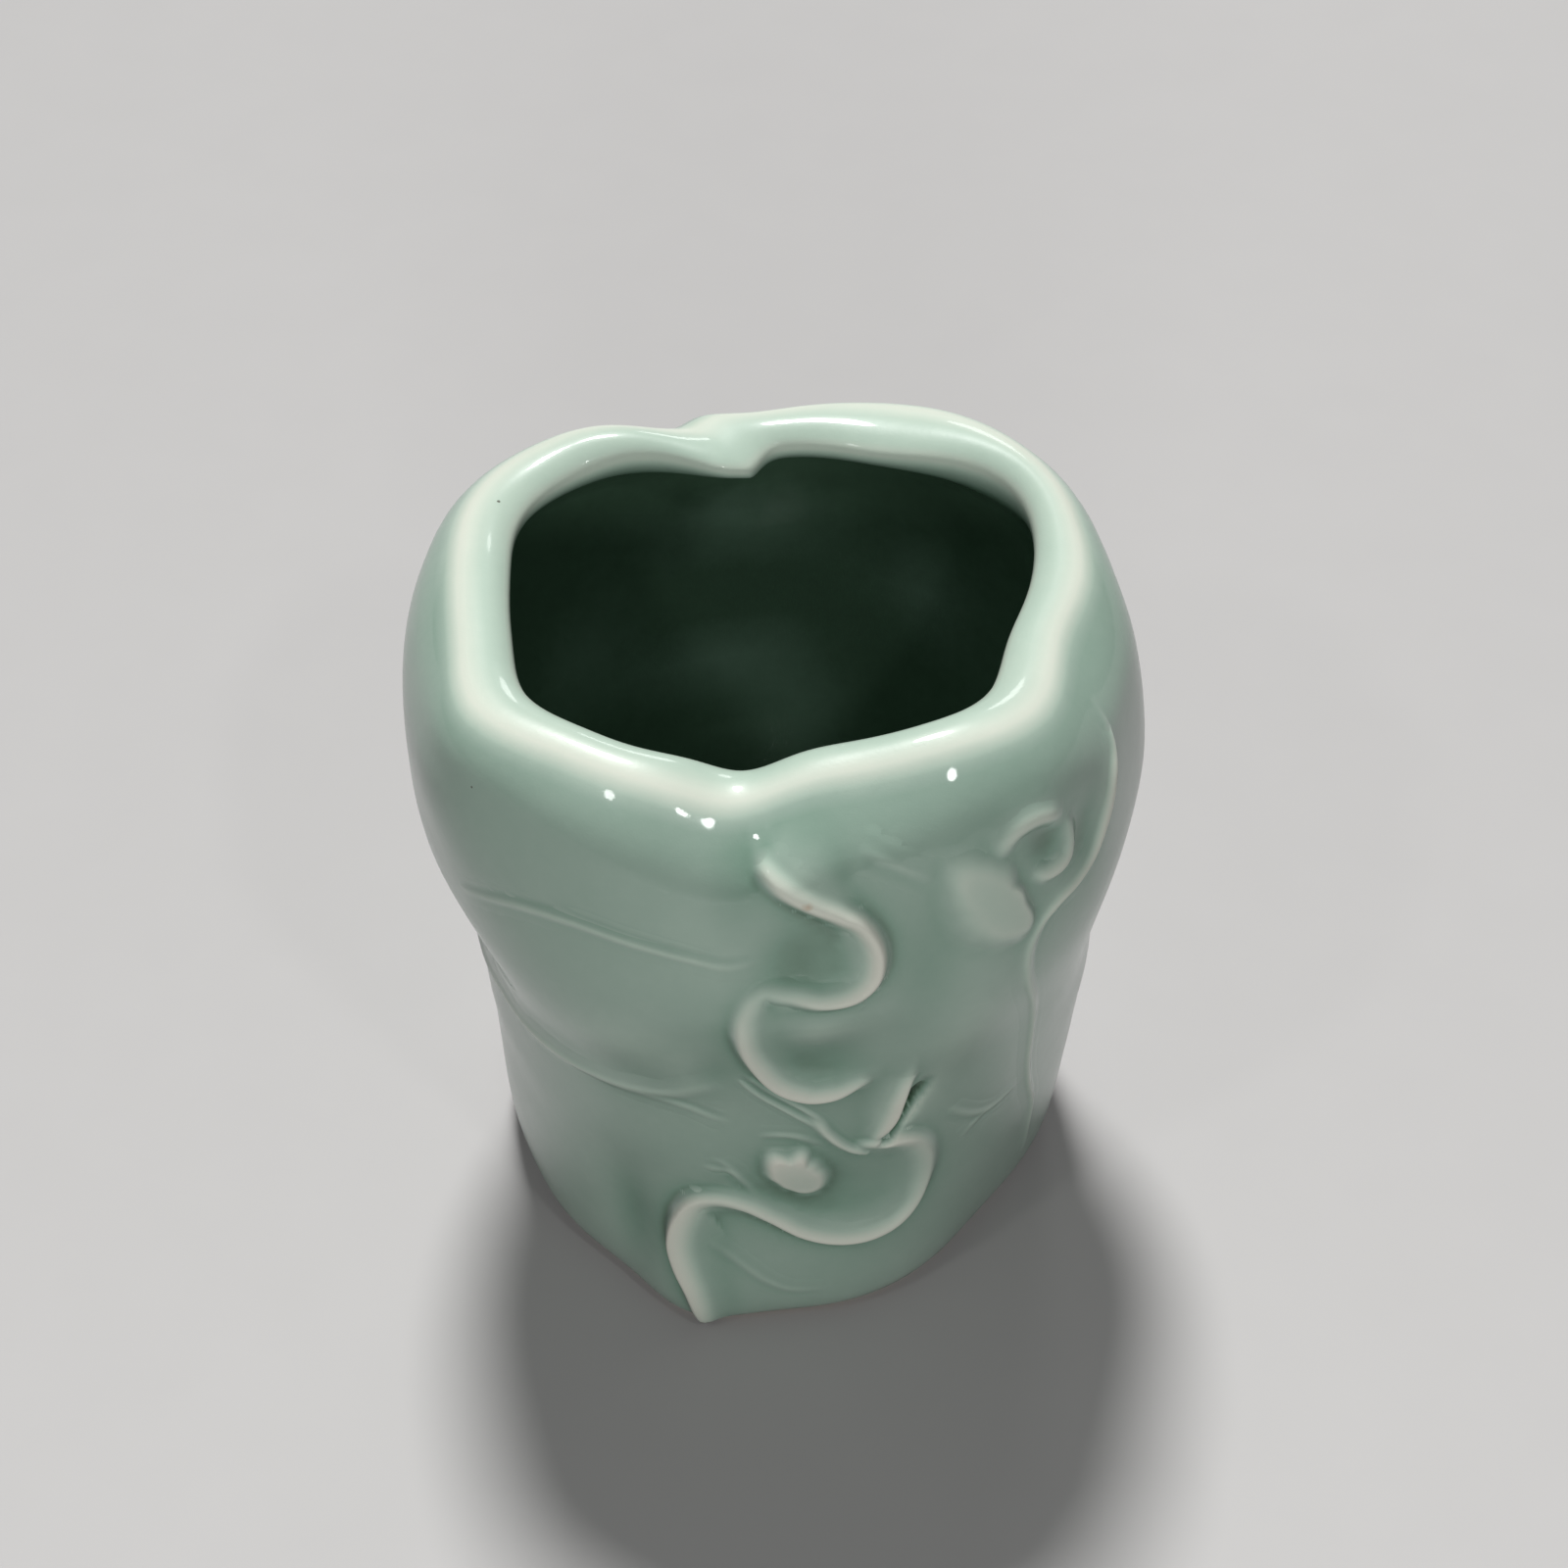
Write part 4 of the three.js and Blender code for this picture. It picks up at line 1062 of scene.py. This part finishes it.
def layRelief():
    # Each piece lies a hair higher than the one before, so that no two faces fall in one
    lift = luting["lift"]
    for line in reliefLines.values():
        for name, (node, first, last) in line["pieces"].items():
            low, high = line["spine"]["rowLength"][first], line["spine"]["rowLength"][last]
            low = max(low - luting["join"] * (first > 0), 0)
            layStrip(name, node, line, low, high, "margin", lift)
            lift += luting["marginLift"]
    layStrip(*stemLine["piece"], stemLine, 0, stemLine["spine"]["length"], "stem", lift)
    for name, vein in veins.items():
        lift += luting["veinLift"]
        layStrip(name, None, vein, 0, vein["spine"]["length"], "vein", lift)
    for name, pad in leafPads.items():
        lift += luting["padLift"]
        layPad(name, pad, lift)


layRelief()
print("pot: every piece is laid")

# The floor is pale to the camera and in reflections, and darker to the light that it throws back
studio = {
    "floorSize": 6, "floorColour": (0.45, 0.442, 0.435), "floorThrown": (0.05, 0.05, 0.052),
    "floorCloth": (60, 3), "floorDarker": 0.97, "floorRough": 0.9,
    "worldColour": (0.93, 0.95, 1.0), "worldStrength": (0.075, 0.55),     # to light, and to the camera
    "aim": (0, 0, 0.07),
    "sun": {"azimuth": -172, "elevation": 61, "wide": 11.5, "strength": 3.84},
    "lamps": [   # azimuth from the front, elevation, distance, size, power
        ("frontLeft", -39, 50, 1.0, 0.08, 0.5),
        ("frontRight", 26, 50, 1.0, 0.07, 0.6),
        ("frontLow", 0, 15, 1.0, 0.3, 3.9),
        ("lowBack", 170, 22, 1.0, 0.2, 0.7),
    ],
    "noHighlight": "frontLow",
}


def buildFloor():
    bpy.ops.mesh.primitive_plane_add(size=studio["floorSize"])
    ground = started("studioFloor")
    shader = Shader(bpy.data.materials.new("studioFloor"))
    cloth = shader.noise(shader.place(), *studio["floorCloth"])
    seen, mirrored, through = [shader.node("ShaderNodeLightPath", output=ray) for ray in (0, 3, 6)]
    shown = mirrored.math("MAXIMUM", mirrored, through)
    shown = seen.math("MAXIMUM", seen, shown)
    darker = tuple(c * studio["floorDarker"] for c in studio["floorColour"])
    tone = shader.blend(shown, studio["floorThrown"], shader.blend(cloth, darker, studio["floorColour"]))
    ground.data.materials.append(shader.finish(Base_Color=tone, Roughness=studio["floorRough"]))


def buildWorld():
    bpy.context.scene.world = bpy.data.worlds.new("studio")
    sky = Shader(bpy.context.scene.world, "Background")
    seen = sky.node("ShaderNodeLightPath", output=0)
    sky.finish(Color=studio["worldColour"], Strength=sky.ranged(seen, 0, 1, *studio["worldStrength"]))


def buildLamps():
    sun = studio["sun"]
    tilt = math.radians(90 - sun["elevation"])
    bpy.ops.object.light_add(type="SUN", rotation=(tilt, 0, math.radians(sun["azimuth"])))
    overhead = bpy.context.object
    overhead.name = "overhead"
    overhead.data.angle, overhead.data.energy = math.radians(sun["wide"]), sun["strength"]

    for name, azimuth, elevation, distance, size, power in studio["lamps"]:
        turn, tilt = math.radians(azimuth), math.radians(elevation)
        away = np.array([math.sin(turn) * math.cos(tilt), -math.cos(turn) * math.cos(tilt), math.sin(tilt)])
        spot = np.array(studio["aim"]) + distance * away
        bpy.ops.object.light_add(type="AREA", location=spot, rotation=(math.radians(90) - tilt, 0, turn))
        lamp = bpy.context.object
        lamp.name = name
        lamp.data.shape, lamp.data.size, lamp.data.energy = "DISK", size, power
        lamp.visible_glossy = name != studio["noHighlight"]


buildFloor()
buildWorld()
buildLamps()

# aim and distance are in millimetres round the pot's axis, and focal in the picture's pixels
camera = {
    "elevation": 44.5, "distance": 540, "aim": (1.2, 4, 72), "focal": 3450, "sensor": 36,
    "pictureWidth": 1600, "clip": (0.02, 20),
}


def addCamera():
    tilt = math.radians(camera["elevation"])
    aim = np.array(camera["aim"], float)
    spot = place(aim + camera["distance"] * np.array([0, -math.cos(tilt), math.sin(tilt)]))
    bpy.ops.object.camera_add(location=tuple(spot), rotation=(math.radians(90) - tilt, 0, 0))
    made = bpy.context.object
    made.data.sensor_width = camera["sensor"]
    made.data.lens = camera["focal"] / camera["pictureWidth"] * camera["sensor"]
    made.data.clip_start, made.data.clip_end = camera["clip"]
    bpy.context.scene.camera = made


addCamera()
bpy.context.scene.view_settings.view_transform = "Standard"
print("pot: studio and camera are set")
